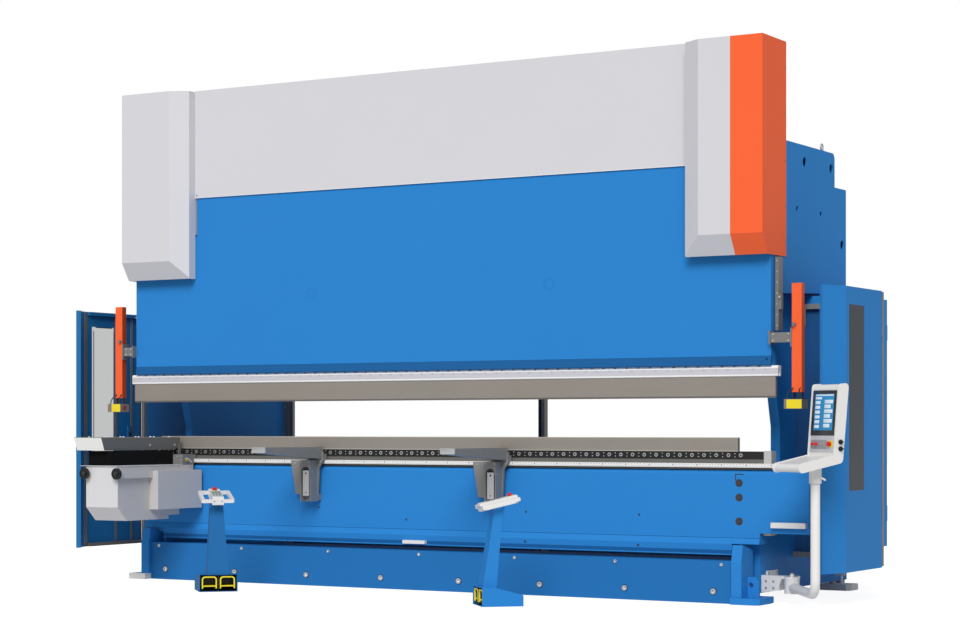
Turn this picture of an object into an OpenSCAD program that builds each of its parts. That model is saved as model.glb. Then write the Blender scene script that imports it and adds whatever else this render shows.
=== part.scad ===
// Hydraulic press brake for sheets up to about 6 m: welded side frames and bed, an
// upper beam on two cylinders, powered tools gap, back gauge, sheet supports and a
// sheet follower, swing-arm control console and two free-standing foot pedestals.
// X runs along the bending line, Y points to the back, Z is up from the floor.
// The origin is on the floor, at the middle of the machine's bounding box.

/* [Main sizes] */
// Length of the tool clamp, which is the working length
work_len = 6100; // [5000:10:7320]
// Height of the bed plate's top edge above the floor
table_h = 992; // [900:1:1190]
// Clear opening between punch tip and die at the top of the stroke
open_h = 294; // [250:1:360]
// Downward stroke of the upper beam
stroke = 290; // [200:1:290]
// Depth from the clamp's front to the back of the throat
throat = 500; // [400:5:700]
// Depth from the clamp's front to the rear edge of the side frames
frame_depth = 1876; // [1700:5:2300]
// Overall height to the top of the front covers
over_h = 4198; // [4100:1:5030]

/* [Side frames] */
// Thickness of each side plate
frame_t = 76; // [50:1:95]
// Distance that the clamp overhangs the inside of each side plate
frame_in = 273; // [240:1:330]
// Width of the box section at the head of each side frame
head_w = 151; // [120:1:170]
// Wall of the head boxes and tie beams
box_wall = 12; // [8:1:20]

/* [Bed and base] */
// Thickness of the bed plate
bed_t = 120; // [90:1:125]
// Overhang of the bed plate past the clamp at each end
bed_wing = 250; // [150:5:400]
// Radius of the bed plate's top front edge
bed_edge_r = 35; // [10:1:45]
// Height of the base beam
base_h = 317; // [260:1:330]
// Clear gap between base beam and bed plate
base_gap = 39; // [20:1:60]
// How far the base beam stands in front of the clamp's face
base_front = 120; // [80:1:150]
// Head radius of the large anchor bolts
anchor_r = 22; // [16:1:26]
// Number of large anchor bolts along the base
anchor_count = 8; // [5:1:10]
// Height of the levelling feet
foot_h = 70; // [50:1:90]

/* [Tools and tool holders] */
// Height of the crowning table
crown_h = 79; // [60:1:100]
// Height of the die holder
holder_h = 56; // [45:1:70]
// Depth of crowning table and die holder, front to back
holder_d = 100; // [80:1:110]
// Height of the die above its holder
die_h = 105; // [80:1:130]
// Width of the die
die_w = 36; // [32:1:60]
// Width of the die's V groove
groove_w = 20; // [12:1:26]
// Pitch of the die holder's screws
screw_pitch = 100; // [80:5:140]
// Height of the punch below the clamp
punch_h = 160; // [120:1:190]
// Thickness of the punch
punch_t = 30; // [25:1:34]
// Height of the tool clamp
clamp_h = 79; // [60:1:95]
// Depth of the tool clamp
clamp_d = 60; // [50:1:90]
// Clearance around each tool tang in its slot
tang_gap = 0.5; // [0.2:0.1:1]

/* [Upper beam and drive] */
// Thickness of the upper beam
ram_t = 100; // [80:1:110]
// Radius of each cylinder barrel
barrel_r = 165; // [150:1:170]
// Radius of each cylinder bore
bore_r = 140; // [120:1:143]
// Radius of each piston rod
rod_r = 100; // [80:1:110]
// Radial running clearance of rod and piston
run_gap = 0.05; // [0.02:0.01:0.1]

/* [Covers and guards] */
// Thickness of the cover sheets
sheet_t = 4; // [2:0.5:6]
// How far the corner covers stand in front of the clamp's face
cover_front = 190; // [170:1:230]
// Width of each corner cover
cover_w = 666; // [620:1:700]
// How far the side guards stand outside the clamp's ends
guard_out = 526; // [450:1:600]
// Depth of the side guards behind the clamp's face
guard_depth = 745; // [650:5:900]
// Height of the side guards' bottom edge
guard_low = 250; // [150:5:300]
// Height of the side guards' top edge
guard_top = 2335; // [2200:5:2500]

/* [Laser guarding arms] */
// Width of the laser arm's tube
arm_w = 77; // [60:1:90]
// Depth of the laser arm's tube
arm_d = 52; // [40:1:60]
// Length of the laser arm's tube
arm_len = 798; // [700:1:900]

/* [Sheet follower and front supports] */
// Width of the follower's tray
tray_w = 289; // [220:1:330]
// Length of the follower's tray
tray_len = 1037; // [850:1:1150]
// Width of the follower's body
fbody_w = 337; // [300:1:380]
// Radius of the follower's handwheels
fwheel_r = 47; // [35:1:55]
// Reach of the front support arms
support_reach = 690; // [550:1:800]
// Width of the front support arms
support_w = 130; // [90:1:150]

/* [Console and foot pedestals] */
// Reach of the console's swing arm
boom_reach = 790; // [780:1:900]
// Radius of the console's tube
boom_r = 34; // [28:1:38]
// Width of the console housing
panel_w = 300; // [260:1:340]
// Height of the console's screen part
panel_h = 480; // [420:1:560]
// Width of each foot pedestal's base
ped_w = 305; // [280:1:360]
// Height of the pedestals' columns above their base
ped_col = 580; // [480:1:700]
// Travel of the red stop buttons
stop_travel = 6; // [4:0.5:8]

/* [Hidden] */
$fn = 48;
eps = 0.01;

// Colours
blue = [0.17, 0.50, 0.79];
navy = [0.10, 0.27, 0.47];
pale = [0.83, 0.83, 0.85];
orange = [0.97, 0.40, 0.22];
steel = [0.62, 0.60, 0.57];
bright = [0.80, 0.81, 0.82];
dark = [0.22, 0.22, 0.23];
white = [0.93, 0.92, 0.90];
yellow = [0.90, 0.80, 0.10];
red = [0.85, 0.06, 0.06];
black = [0.06, 0.06, 0.07];

// Stations along X
half = work_len / 2;
frame_x = half - frame_in;
frame_out = frame_x + frame_t;
head_x = frame_out + head_w;
ram_x = half - 52;
base_x = frame_x - 34;
post_w = 81;
holder_x = half - 119;
die_x = holder_x - 205;
cover_out = half - 41;
cover_in = cover_out - cover_w;
guard_x = half + guard_out;

// Heights
die_z = table_h + crown_h + holder_h;
die_top = die_z + die_h;
punch_z = die_top + open_h;
clamp_z = punch_z + punch_h;
ram_z = clamp_z + clamp_h;
bed_z = base_h + base_gap;
wing_z = bed_z + 165;
cover_z = ram_z + 1512;
corner_z = ram_z + 818;
head_top = cover_z + 179;
step_z = head_top - 264;
shoulder_z = ram_z + 1185;
ram_top = over_h - 450;

// The bending line
line_y = 24;
// Front edge of the side plates
plate_y = bed_t + 10;

// Copies its children to the other end of the machine.
module both() {
    children();
    mirror([1, 0, 0]) children();
}

// Extrudes an outline given in Y and Z along X.
module yz(x, len) {
    translate([x, 0, 0]) rotate([90, 0, 90]) linear_extrude(len) children();
}

// Extrudes an outline given in X and Z along Y.
module xz(y, len) {
    translate([0, y + len, 0]) rotate([90, 0, 0]) linear_extrude(len) children();
}

// Box from its lowest and highest corners.
module box(a, b) {
    translate(a) cube(b - a);
}

// Round bar along X, Y or Z.
module bar_x(r, len) {
    rotate([0, 90, 0]) cylinder(r = r, h = len);
}

module bar_y(r, len) {
    rotate([-90, 0, 0]) cylinder(r = r, h = len);
}

function turned(r, a) = [r * cos(a), r * sin(a)];

// Outline that wraps two circles.
module link(p, rp, q, rq) {
    a = atan2(q[1] - p[1], q[0] - p[0]);
    b = acos((rp - rq) / norm(q - p));
    translate(p) circle(r = rp);
    translate(q) circle(r = rq);
    polygon([p + turned(rp, a + b), p + turned(rp, a - b), q + turned(rq, a - b), q + turned(rq, a + b)]);
}

// ---- Side frames, bed and base -------------------------------------------------

// Rear edges of the head: its lower part, and the narrower part above the step.
rear_low = frame_depth - 401;
rear_high = frame_depth - 642;

// Outline of one side plate, with its throat.
module side_outline() {
    polygon([
        [plate_y, foot_h], [frame_depth, foot_h], [frame_depth, guard_top - 60],
        [rear_low, guard_top + 140], [rear_low, step_z], [rear_high, step_z],
        [rear_high, head_top - 40], [rear_high - 12, head_top - 12], [rear_high - 40, head_top],
        [plate_y, head_top], [plate_y, ram_z + 710],
        [throat - 294, ram_z + 536], [throat - 65, punch_z + 20], [throat, punch_z - 216],
        [throat, table_h], [plate_y, table_h]
    ]);
}

// Outline of the head box, set in by a wall.
module head_outline(i) {
    low = ram_z + 540;
    polygon([
        [plate_y + i, low + i], [rear_low - i, low + 64 + i], [rear_low - i, step_z - i],
        [rear_high - i, step_z - i], [rear_high - i, head_top - 40],
        [rear_high - 12 - i * 0.7, head_top - 12 - i * 0.7], [rear_high - 40, head_top - i],
        [plate_y + i, head_top - i]
    ]);
}

// Places and radii of the round holes in the head box's outer wall.
function head_holes() = [for (p = [[0.333, 127, 38], [0.62, 125, 38], [0.254, 496, 23],
    [0.507, 497, 23], [0.743, 707, 38]]) [p[0] * frame_depth, head_top - p[1], p[2]]];

module side_frames() color(blue) both() {
    yz(frame_x, frame_t) side_outline();
    difference() {
        yz(frame_out, head_w) head_outline(0);
        yz(frame_out - eps, head_w - box_wall + eps) head_outline(box_wall);
        for (p = head_holes())
            translate([head_x - box_wall - 1, p[0], p[1]]) bar_x(p[2], box_wall + 2);
    }
}

band_y = 25;
band_z = bed_z + 82;
band_end = base_x - 53;
// Front of the band's hollow lower face, at a height above the plate's bottom edge
function band_face(h) = 8 - band_y - 8 * (h - 10) / (band_z - bed_z - 10);

module bed() color(blue) {
    difference() {
        union() {
            // upper plate with its wings
            box([-half - bed_wing, 0, wing_z], [half + bed_wing, bed_t, table_h - bed_edge_r]);
            box([-half - bed_wing, bed_edge_r, wing_z], [half + bed_wing, bed_t, table_h]);
            translate([-half - bed_wing, bed_edge_r, table_h - bed_edge_r])
                bar_x(bed_edge_r, work_len + 2 * bed_wing);
            // lower plate, with a raised band and a thin lip along its foot
            yz(-band_end, 2 * band_end) polygon([
                [bed_t, bed_z], [-band_y, bed_z], [-band_y, bed_z + 10], [8 - band_y, bed_z + 10],
                [-band_y, band_z], [0, band_z + 45], [0, wing_z + eps], [bed_t, wing_z + eps]
            ]);
            // shallower ends above the posts
            both() yz(band_end - eps, half - 144 - band_end) polygon([
                [bed_t, band_z + 2], [1 - band_y, band_z + 2], [0, band_z + 45], [0, wing_z + eps],
                [bed_t, wing_z + eps]
            ]);
        }
        // three access holes near the right end
        for (z = plug_heights()) translate([plug_x(), -1, z]) bar_y(plug_r, 26);
    }
}

plug_r = 30;
function plug_x() = half - 312;
function plug_heights() = [table_h - 99, table_h - 207, table_h - 385];

module base_beam() color(blue) {
    wall = 20;
    difference() {
        union() {
            box([-base_x, -base_front, 0], [base_x, plate_y + 220, base_h]);
            box([-frame_x, plate_y, foot_h], [frame_x, plate_y + 220, base_h]);
        }
        box([-base_x + wall, -base_front + wall + 14, wall],
            [base_x - wall, plate_y + 220 - wall, base_h - wall]);
        for (x = anchor_stations()) translate([x, -base_front - 1, anchor_z])
            bar_y(anchor_r + 6, 15);
    }
    // end posts with chamfered tops, each with a lug
    both() {
        yz(base_x, post_w) polygon([
            [-base_front - 32, slab_h], [60, slab_h], [60, base_h + 80], [-base_front - 6, base_h + 120],
            [-base_front - 32, base_h - 9]
        ]);
        xz(-36, 24) difference() {
            polygon([[base_x + post_w - 1, slab_h], [lug_x, slab_h], [lug_x, 164],
                [lug_x - 26, 200], [base_x + post_w - 1, 200]]);
            translate([lug_x - 62, 140]) circle(r = 19);
        }
    }
    // broad foot slab under the right post
    linear_extrude(slab_h) polygon([
        [base_x, -base_front - 58], [lug_x + 32, -base_front - 58], [lug_x + 58, -base_front - 30],
        [lug_x + 58, 60], [lug_x + 44, 60], [lug_x + 44, 139], [base_x, 139]
    ]);
}

slab_h = 48;
lug_x = base_x + 170;

anchor_z = 88;
tie_z = 289;
tie_count = 7;
function anchor_stations() = [for (i = [0 : anchor_count - 1])
    (base_x - 160) * (2 * i / (anchor_count - 1) - 1)];
function tie_stations() = [for (i = [0 : tie_count - 1]) (base_x - 92) * (2 * i / (tie_count - 1) - 1)];
holder_screws = 2 * floor((2 * holder_x - 160) / screw_pitch / 2);
function holder_stations() = [for (i = [0 : holder_screws - 1])
    (i - (holder_screws - 1) / 2) * screw_pitch];
holder_screw_z = table_h + crown_h + holder_h / 2;
holder_y = 10;

// A cap screw whose head points to the front, with a hexagon socket.
module front_screw(r, head, shank_r, shank) {
    difference() {
        union() {
            translate([0, -head, 0]) bar_y(r, head);
            translate([0, -eps, 0]) bar_y(shank_r, shank);
        }
        translate([0, -head - 1, 0]) rotate([-90, 0, 0]) cylinder(r = r * 0.5, h = head * 0.6 + 1, $fn = 6);
    }
}

module lifting_eye() {
    cylinder(r = 20, h = 17);
    translate([0, 0, 44]) rotate([0, 90, 0]) rotate_extrude() translate([22, 0]) circle(r = 7, $fn = 24);
}

module machine_screws() color(bright) {
    // anchor screws in their recesses, and the smaller tie screws above them
    for (x = anchor_stations()) translate([x, -base_front + 14, anchor_z])
        front_screw(anchor_r, 20, 10, 0.02);
    for (x = tie_stations()) translate([x, -base_front, tie_z]) front_screw(13, 8, 6, 0.02);
    // die holder screws
    for (x = holder_stations()) translate([x, holder_y, holder_screw_z])
        front_screw(14, 7, 6, 0.02);
    // lifting eye on the head of each side frame
    both() translate([head_x - 60, rear_high - 118, head_top]) lifting_eye();
}

module levelling_feet() color(bright) {
    // broad pad under the left post
    mirror([1, 0, 0]) box([base_x + 2, -base_front - 80, 0], [base_x + 178, 60, slab_h]);
    // chamfered pads under the rear of the side plates, each with its screw
    both() translate([frame_x, frame_depth - 312, 0]) {
        linear_extrude(50) polygon([
            [-30, 0], [190, 0], [222, 40], [222, 190], [190, 200], [-30, 200]
        ]);
        translate([38, 100, 50 - eps]) cylinder(r = 24, h = foot_h - 50 + eps);
        translate([frame_t + 60, 40, 50 - eps]) cylinder(r = 13, h = 90);
        translate([frame_t, 30, 120]) cube([90, 20, 14]);
    }
}

module tie_beam(y, z, d, h) {
    difference() {
        box([-frame_x, y, z], [frame_x, y + d, z + h]);
        box([-frame_x + box_wall, y + box_wall, z + box_wall],
            [frame_x - box_wall, y + d - box_wall, z + h - box_wall]);
    }
}

shelf_z = head_top - 600;
module rear_beams() color(blue) {
    tie_beam(frame_depth - 320, 260, 200, 240);
    tie_beam(frame_depth - 700, guard_top - 120, 160, 260);
    // platform for the hydraulic unit
    tie_beam(plate_y + 170, shelf_z - 120, 200, 120);
    tie_beam(frame_depth - 800, shelf_z - 120, 200, 120);
    box([-1100, plate_y + 170, shelf_z], [1100, frame_depth - 600, shelf_z + box_wall]);
}

// ---- Table, die holder and tools -----------------------------------------------

module crowning_table() color(steel) {
    top = table_h + crown_h;
    box([-holder_x, holder_y + 5, table_h], [holder_x, holder_y + holder_d, table_h + crown_h / 2 - 1]);
    // upper row of wedge blocks with narrow joints between them
    blocks = 12;
    pitch = 2 * holder_x / blocks;
    for (i = [0 : blocks - 1]) yz(-holder_x + i * pitch + 0.5, pitch - 1) polygon([
        [holder_y + 5, table_h + crown_h / 2 - 1], [holder_y + holder_d, table_h + crown_h / 2 - 1],
        [holder_y + holder_d, top], [holder_y + 5, top]
    ]);
}

module die_holder() color(dark) {
    z = table_h + crown_h;
    gap = screw_pitch;
    difference() {
        box([-holder_x, holder_y, z], [holder_x, holder_y + holder_d, z + holder_h]);
        // slot for the die's tang
        box([-holder_x - 1, line_y - 7, z + holder_h - 28], [holder_x + 1, line_y + 7, z + holder_h + 1]);
        // pairs of dowel holes between the screws
        for (i = [0 : holder_screws / 2 - 1], k = [-1, 1])
            translate([(2 * i + 1 - holder_screws / 2) * gap, holder_y - 1, holder_screw_z + 12 * k])
                bar_y(5, 6);
    }
}

module die() color(steel) {
    y0 = line_y - die_w / 2;
    y1 = line_y + die_w / 2;
    tang = 7 - tang_gap;
    yz(-die_x, 2 * die_x) polygon([
        [y0, die_z], [line_y - tang, die_z], [line_y - tang, die_z - 26], [line_y + tang, die_z - 26],
        [line_y + tang, die_z], [y1, die_z], [y1, die_top], [line_y + groove_w / 2, die_top],
        [line_y, die_top - groove_w / 2], [line_y - groove_w / 2, die_top], [y0, die_top]
    ]);
}

rail_z = table_h + 16;
rail_h = 30;
module front_rail() {
    // graduated guide rail along the table's front, on a narrow standoff
    color(white) {
        box([-half + 335, -20, rail_z], [half + 4, holder_y + 5, rail_z + rail_h]);
        box([-half + 335, 5, table_h], [half + 4, holder_y + 5, rail_z + eps]);
    }
    // clamping block at the right end of the holder
    color(bright) box([holder_x, holder_y + 5 + eps, table_h], [half - 59, holder_y + holder_d - 5,
        table_h + crown_h + holder_h + 5]);
}

// ---- Upper beam ----------------------------------------------------------------

ram_y = -7;
module ram_outline() {
    neck = cover_in - 14;
    polygon([
        [-ram_x, ram_z], [ram_x, ram_z], [ram_x, shoulder_z], [neck, shoulder_z],
        [neck, ram_top], [-neck, ram_top], [-neck, shoulder_z], [-ram_x, shoulder_z]
    ]);
}

module ram() color(blue) difference() {
    union() {
        xz(ram_y, ram_t) ram_outline();
        // raised strip above the clamp, with a chamfered top
        yz(-ram_x, 2 * ram_x) polygon([
            [ram_y + eps, ram_z], [ram_y - 6, ram_z], [ram_y - 6, ram_z + 34], [ram_y + eps, ram_z + 44]
        ]);
    }
    // two shallow round access recesses
    both() translate([1126, ram_y - 1, ram_z + 660]) difference() {
        bar_y(46, 3);
        translate([0, -1, 0]) bar_y(41, 6);
    }
    // small hole near the lower right corner
    translate([ram_x - 33, ram_y - 1, ram_z + 40]) bar_y(12, 30);
}

rod_x = cover_in + 225;
rod_y = 40;
barrel_z = shoulder_z + 110;
barrel_h = over_h - 120 - barrel_z;
module cylinders() color(dark) both() difference() {
    union() {
        translate([rod_x, rod_y, barrel_z]) cylinder(r = barrel_r, h = barrel_h, $fn = 96);
        // saddle that carries the barrel on the side plate
        box([rod_x - 120, plate_y + 30, barrel_z + 40], [frame_x, plate_y + 160, head_top - 80]);
    }
    translate([rod_x, rod_y, barrel_z - 1]) cylinder(r = rod_r + run_gap, h = barrel_h, $fn = 96);
    translate([rod_x, rod_y, barrel_z + 90]) cylinder(r = bore_r + run_gap, h = barrel_h - 130, $fn = 96);
}

module piston_rods() color(bright) both() translate([rod_x, rod_y, shoulder_z]) {
    cylinder(r = rod_r, h = barrel_h - 20, $fn = 96);
    translate([0, 0, barrel_h - 100]) cylinder(r = bore_r, h = 90, $fn = 96);
}

module clamp_bar() color(white) difference() {
    yz(-half, work_len) polygon([
        [4, clamp_z], [0, clamp_z + 4], [0, ram_z - 14], [10, ram_z], [clamp_d, ram_z],
        [clamp_d, clamp_z]
    ]);
    box([-half - 1, line_y - 11, clamp_z - 1], [half + 1, line_y + 11, clamp_z + 31]);
}

clamp_screw_pitch = 100;
module clamp_screws() color(bright) {
    count = floor((work_len - 60) / clamp_screw_pitch);
    for (i = [0 : count - 1])
        translate([(i - (count - 1) / 2) * clamp_screw_pitch, 0, ram_z - 24]) front_screw(8, 4, 4, 0.02);
}

module punch() color(steel) {
    y0 = line_y - punch_t / 2;
    y1 = line_y + punch_t / 2;
    tang = 11 - tang_gap;
    bevel = 14;
    yz(-half + 23, work_len - 46) polygon([
        [y0, clamp_z], [line_y - tang, clamp_z], [line_y - tang, clamp_z + 30],
        [line_y + tang, clamp_z + 30], [line_y + tang, clamp_z], [y1, clamp_z],
        [y1, punch_z + bevel], [line_y + 1, punch_z], [line_y - 1, punch_z], [y0, punch_z + bevel]
    ]);
}

guide_z = ram_z + 259;
module ram_guides() color(steel) both() {
    // vertical guide rail beside the beam's end, with the plate that bolts it to the head
    box([ram_x + 8, 50, guide_z], [ram_x + 35, plate_y, corner_z - 13]);
    box([ram_x - 58, 100, ram_z + 555], [ram_x + 12, plate_y, corner_z - 13]);
    // small limit switch on the rail
    box([ram_x + 35 - eps, 56, guide_z + 156], [ram_x + 53, 96, guide_z + 266]);
}

// ---- Covers ----------------------------------------------------------------------

module top_cover() color(pale) {
    front = ram_y - 8 - sheet_t;
    x = cover_in - 1;
    depth = frame_depth - 1000;
    difference() {
        box([-x, front, cover_z], [x, depth, over_h]);
        box([-x + sheet_t, front + sheet_t, cover_z - 1], [x - sheet_t, depth + 1, over_h - sheet_t]);
        // holes for the pressure lines
        translate([-x - 1, plate_y + 380, tank_z + 560]) bar_x(24, 2 * x + 2);
    }
}

cover_rear = 253;
// Outer form of a corner cover, set in by i on every walled side.
module corner_form(i) {
    low = i > 0 ? corner_z - 1 : corner_z;
    slope_h = 150;
    slope_d = cover_front / 2;
    difference() {
        translate([0, 0, low]) linear_extrude(over_h - 8 - i - low) polygon([
            [cover_in + i, cover_rear + (i > 0 ? 1 : 0)], [cover_in + i, -cover_front + 89 + i * 0.6],
            [cover_in + 147 + i * 0.3, -cover_front + i], [cover_out - i, -cover_front + i],
            [cover_out - i, cover_rear + (i > 0 ? 1 : 0)]
        ]);
        // sloping underside at the front
        yz(cover_in - 1, cover_w + 2) polygon([
            [-cover_front - 1, corner_z - 2], [-cover_front + slope_d + 1.3 + i * 1.2, corner_z - 2],
            [-cover_front - 1, corner_z + slope_h + 1.6 + i * 1.9]
        ]);
    }
}

module corner_shell() {
    difference() {
        corner_form(0);
        corner_form(sheet_t);
        // notch in the inner wall, where the beam's shoulder passes
        box([cover_in - 1, ram_y - 6, corner_z - 1],
            [cover_in + sheet_t + 1, cover_rear + 1, shoulder_z + 15]);
    }
}

trim_x = cover_out - 259;
// Zone of the coloured outer part, starting at a small gap from the pale part.
module trim_zone(gap) {
    box([trim_x + gap, -cover_front - 5, corner_z - 5], [cover_out + 5, cover_rear + 5, over_h + 5]);
}

module corner_covers() color(pale) {
    mirror([1, 0, 0]) corner_shell();
    difference() {
        corner_shell();
        trim_zone(0);
    }
}

module corner_trim() color(orange) intersection() {
    corner_shell();
    trim_zone(0.5);
}

// ---- Hydraulic unit, cabinet and rear fence ----------------------------------------

tank_z = shelf_z + box_wall;
module power_unit() color(dark) {
    // oil tank
    box([-700, plate_y + 200, tank_z], [300, plate_y + 650, tank_z + 480]);
    box([-720, plate_y + 180, tank_z + 480], [320, plate_y + 670, tank_z + 495]);
    // motor with its fan cowl, and the pump flange
    translate([380, plate_y + 420, tank_z + 190]) {
        bar_x(130, 420);
        translate([420 - eps, 0, 0]) bar_x(138, 70);
        translate([-80, 0, 0]) bar_x(90, 80 + eps);
        box([60, -100, -190], [360, 100, -120]);
    }
    // valve block and pressure lines to the two barrels
    box([-260, plate_y + 300, tank_z + 495], [-60, plate_y + 460, tank_z + 610]);
    both() {
        translate([-60, plate_y + 380, tank_z + 560]) bar_x(17, rod_x + 60 - 70);
        translate([rod_x - 70, plate_y + 380, tank_z + 560]) sphere(r = 24, $fn = 32);
        translate([rod_x - 70, rod_y + barrel_r - 7, tank_z + 560])
            bar_y(17, plate_y + 380 - rod_y - barrel_r + 7);
    }
}

cab_x = half + 250;
cab_y = 800;
cab_d = 801;
cab_low = 367;
cab_high = 2317;
// Height and half length of a hinge, its radius, and the two heights on each door.
hinge_h = 60;
hinge_r = 6;
cab_hinges = [cab_low + 200, cab_high - 320];
cab_pin = [cab_x - hinge_r, cab_y + cab_d + 8];
module cabinet() color(blue) {
    difference() {
        box([frame_out, cab_y, cab_low], [cab_x - 20, cab_y + cab_d, cab_high]);
        box([frame_out + 20, cab_y + 20, cab_low + 20], [cab_x, cab_y + cab_d - 20, cab_high - 20]);
    }
    // fixed halves of the door's hinges
    for (z = cab_hinges) {
        translate([cab_pin[0], cab_pin[1], z]) cylinder(r = hinge_r, h = hinge_h);
        box([cab_x - 60, cab_y + cab_d - eps, z], [cab_x - 20, cab_y + cab_d + 5, z + hinge_h]);
        box([cab_x - 20 - eps, cab_y + cab_d + 2, z], [cab_pin[0], cab_y + cab_d + 5, z + hinge_h]);
    }
    // mounting plate inside
    color(bright) box([frame_out + 20 - eps, cab_y + 60, cab_low + 80],
        [frame_out + 26, cab_y + cab_d - 60, cab_high - 80]);
}

module cabinet_door() color(blue) {
    box([cab_x - 20 + 0.3, cab_y, cab_low], [cab_x, cab_y + cab_d, cab_high]);
    for (z = cab_hinges) {
        translate([cab_pin[0], cab_pin[1], z + hinge_h + 0.4]) cylinder(r = hinge_r, h = hinge_h);
        box([cab_x - 10, cab_y + cab_d - eps, z + hinge_h + 0.4],
            [cab_x - 2, cab_y + cab_d + 8, z + 2 * hinge_h]);
    }
    // handle
    color(black) box([cab_x - eps, cab_y + 40, 1250], [cab_x + 22, cab_y + 62, 1400]);
}

fence_y = frame_depth + 30;
module rear_fence() {
    color(steel) both() {
        box([frame_x - 32, fence_y, 0], [frame_x + 24, fence_y + 60, 2150]);
        box([frame_x - 80, fence_y + 12, 160], [frame_x - 45, fence_y + 48, 2150]);
        for (z = [400, 1800]) box([frame_x - 46, fence_y + 20, z], [frame_x - 31, fence_y + 40, z + 40]);
        // arm that holds the post to the side plate
        box([frame_x, frame_depth, 1900], [frame_x + 20, fence_y + eps, 1960]);
        box([frame_x, frame_depth, 300], [frame_x + 20, fence_y + eps, 360]);
        // post and rails that carry each side guard
        box([guard_x - 46, guard_depth + 4, guard_low + 10],
            [guard_x - 14, guard_depth + 44, guard_top - 6]);
        box([guard_x - 15, guard_depth + 22, guard_low + 10], [guard_x, guard_depth + 44, guard_top - 6]);
        for (z = guard_hinges) {
            translate([guard_pin[0], guard_pin[1], z]) cylinder(r = hinge_r, h = hinge_h);
            box([guard_x - 15, guard_pin[1] - 3, z], [guard_pin[0], guard_pin[1] + 3, z + hinge_h]);
        }
        for (z = [guard_low + 60, guard_top - 120])
            box([frame_out, guard_depth + 4, z], [guard_x - 46 + eps, guard_depth + 44, z + 40]);
    }
    // low rear panels, open above, and the screens between side plates and guards
    color(blue) both() {
        box([60, fence_y + 20, 160], [frame_x - 80 + eps, fence_y + 23, 1100]);
        box([frame_out, guard_depth + 41, guard_low + 60],
            [guard_x - 46 + eps, guard_depth + 44, guard_top - 80]);
    }
    // middle post with a light curtain
    color(black) box([-38, fence_y, 0], [-7, fence_y + 60, 2150]);
    color(steel) box([-7 - eps, fence_y, 0], [24, fence_y + 60, 2150]);
    color(steel) box([-frame_x, fence_y + 10, 2150 - eps], [frame_x, fence_y + 50, 2190]);
    color(steel) both() box([24 - eps, fence_y + 10, 160], [60 + eps, fence_y + 50, 1100]);
}

// ---- Back gauge --------------------------------------------------------------------

gauge_x = frame_x - 320;
gauge_z = table_h - 60;
beam_y = 760;
module gauge_guides() color(steel) both() {
    box([gauge_x - 50, plate_y + 420, gauge_z - 90], [gauge_x + 50, frame_depth - 320, gauge_z]);
    // arms to the side plate
    for (y = [plate_y + 440, frame_depth - 480])
        box([gauge_x + 50 - eps, y, gauge_z - 80], [frame_x, y + 80, gauge_z - 20]);
}

module gauge_beam() color(steel) {
    difference() {
        box([-gauge_x - 100, beam_y, gauge_z + 118], [gauge_x + 100, beam_y + 110, die_z - 10]);
        box([-gauge_x - 90, beam_y + 10, gauge_z + 128], [gauge_x + 90, beam_y + 100, die_z - 20]);
    }
    // carriages and lift columns on the two guides
    both() {
        box([gauge_x - 70, beam_y - 10, gauge_z + 0.5], [gauge_x + 70, beam_y + 150, gauge_z + 50]);
        box([gauge_x - 40, beam_y + 20, gauge_z + 50 - eps], [gauge_x + 40, beam_y + 90, gauge_z + 118 + eps]);
    }
}

module gauge_finger(x) {
    translate([x, 0, 0]) {
        box([-45, beam_y + 2, die_z - 10 + 0.4], [45, beam_y + 100, die_z + 30]);
        box([-25, beam_y - 180, die_z + 10], [25, beam_y + 2 + eps, die_z + 45]);
        box([-40, beam_y - 210, die_z + 10], [40, beam_y - 180 + eps, die_z + 90]);
    }
}

finger_x = 1400;
module gauge_finger_left() color(bright) gauge_finger(-finger_x);
module gauge_finger_right() color(bright) gauge_finger(finger_x);

// ---- Small fittings on the bed ------------------------------------------------------

module bed_fittings() {
    // plugs in the three access holes
    color(steel) for (z = plug_heights()) translate([plug_x(), 0, z]) {
        bar_y(plug_r, 25);
        translate([0, -6, 0]) bar_y(plug_r - 6, 6 + eps);
    }
    // tool tray on the right wing, and a small terminal box at the foot
    color(white) {
        difference() {
            box([half - 40, -44, wing_z + 44], [half + 234, 0, wing_z + 84]);
            box([half - 36, -40, wing_z + 48], [half + 230, -4, wing_z + 85]);
        }
        yz(-202, 210) polygon([
            [-band_y - 30, bed_z + 12], [band_face(12) - 0.02, bed_z + 12],
            [band_face(40) - 0.02, bed_z + 40], [-band_y - 30, bed_z + 40]
        ]);
    }
}

// ---- Laser guarding arms ------------------------------------------------------------

// Inner side of each arm's tube, measured outwards: the left one stands closer to the beam.
laser_x = half + 132;
laser_left_x = laser_x - 65;
laser_y = -54;
laser_z = ram_z - 200;
bracket_z = ram_z + 154;
module laser_bracket(x) {
    box([ram_x, laser_y + 8, bracket_z + 12], [x, 6, bracket_z + 86]);
    box([ram_x, laser_y, bracket_z], [ram_x + 12, 36, bracket_z + 100]);
    box([x - 10, laser_y - 6, bracket_z - 20], [x, 20, bracket_z + 118]);
}

module laser_brackets() color(steel) {
    mirror([1, 0, 0]) laser_bracket(laser_left_x);
    laser_bracket(laser_x);
}

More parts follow.
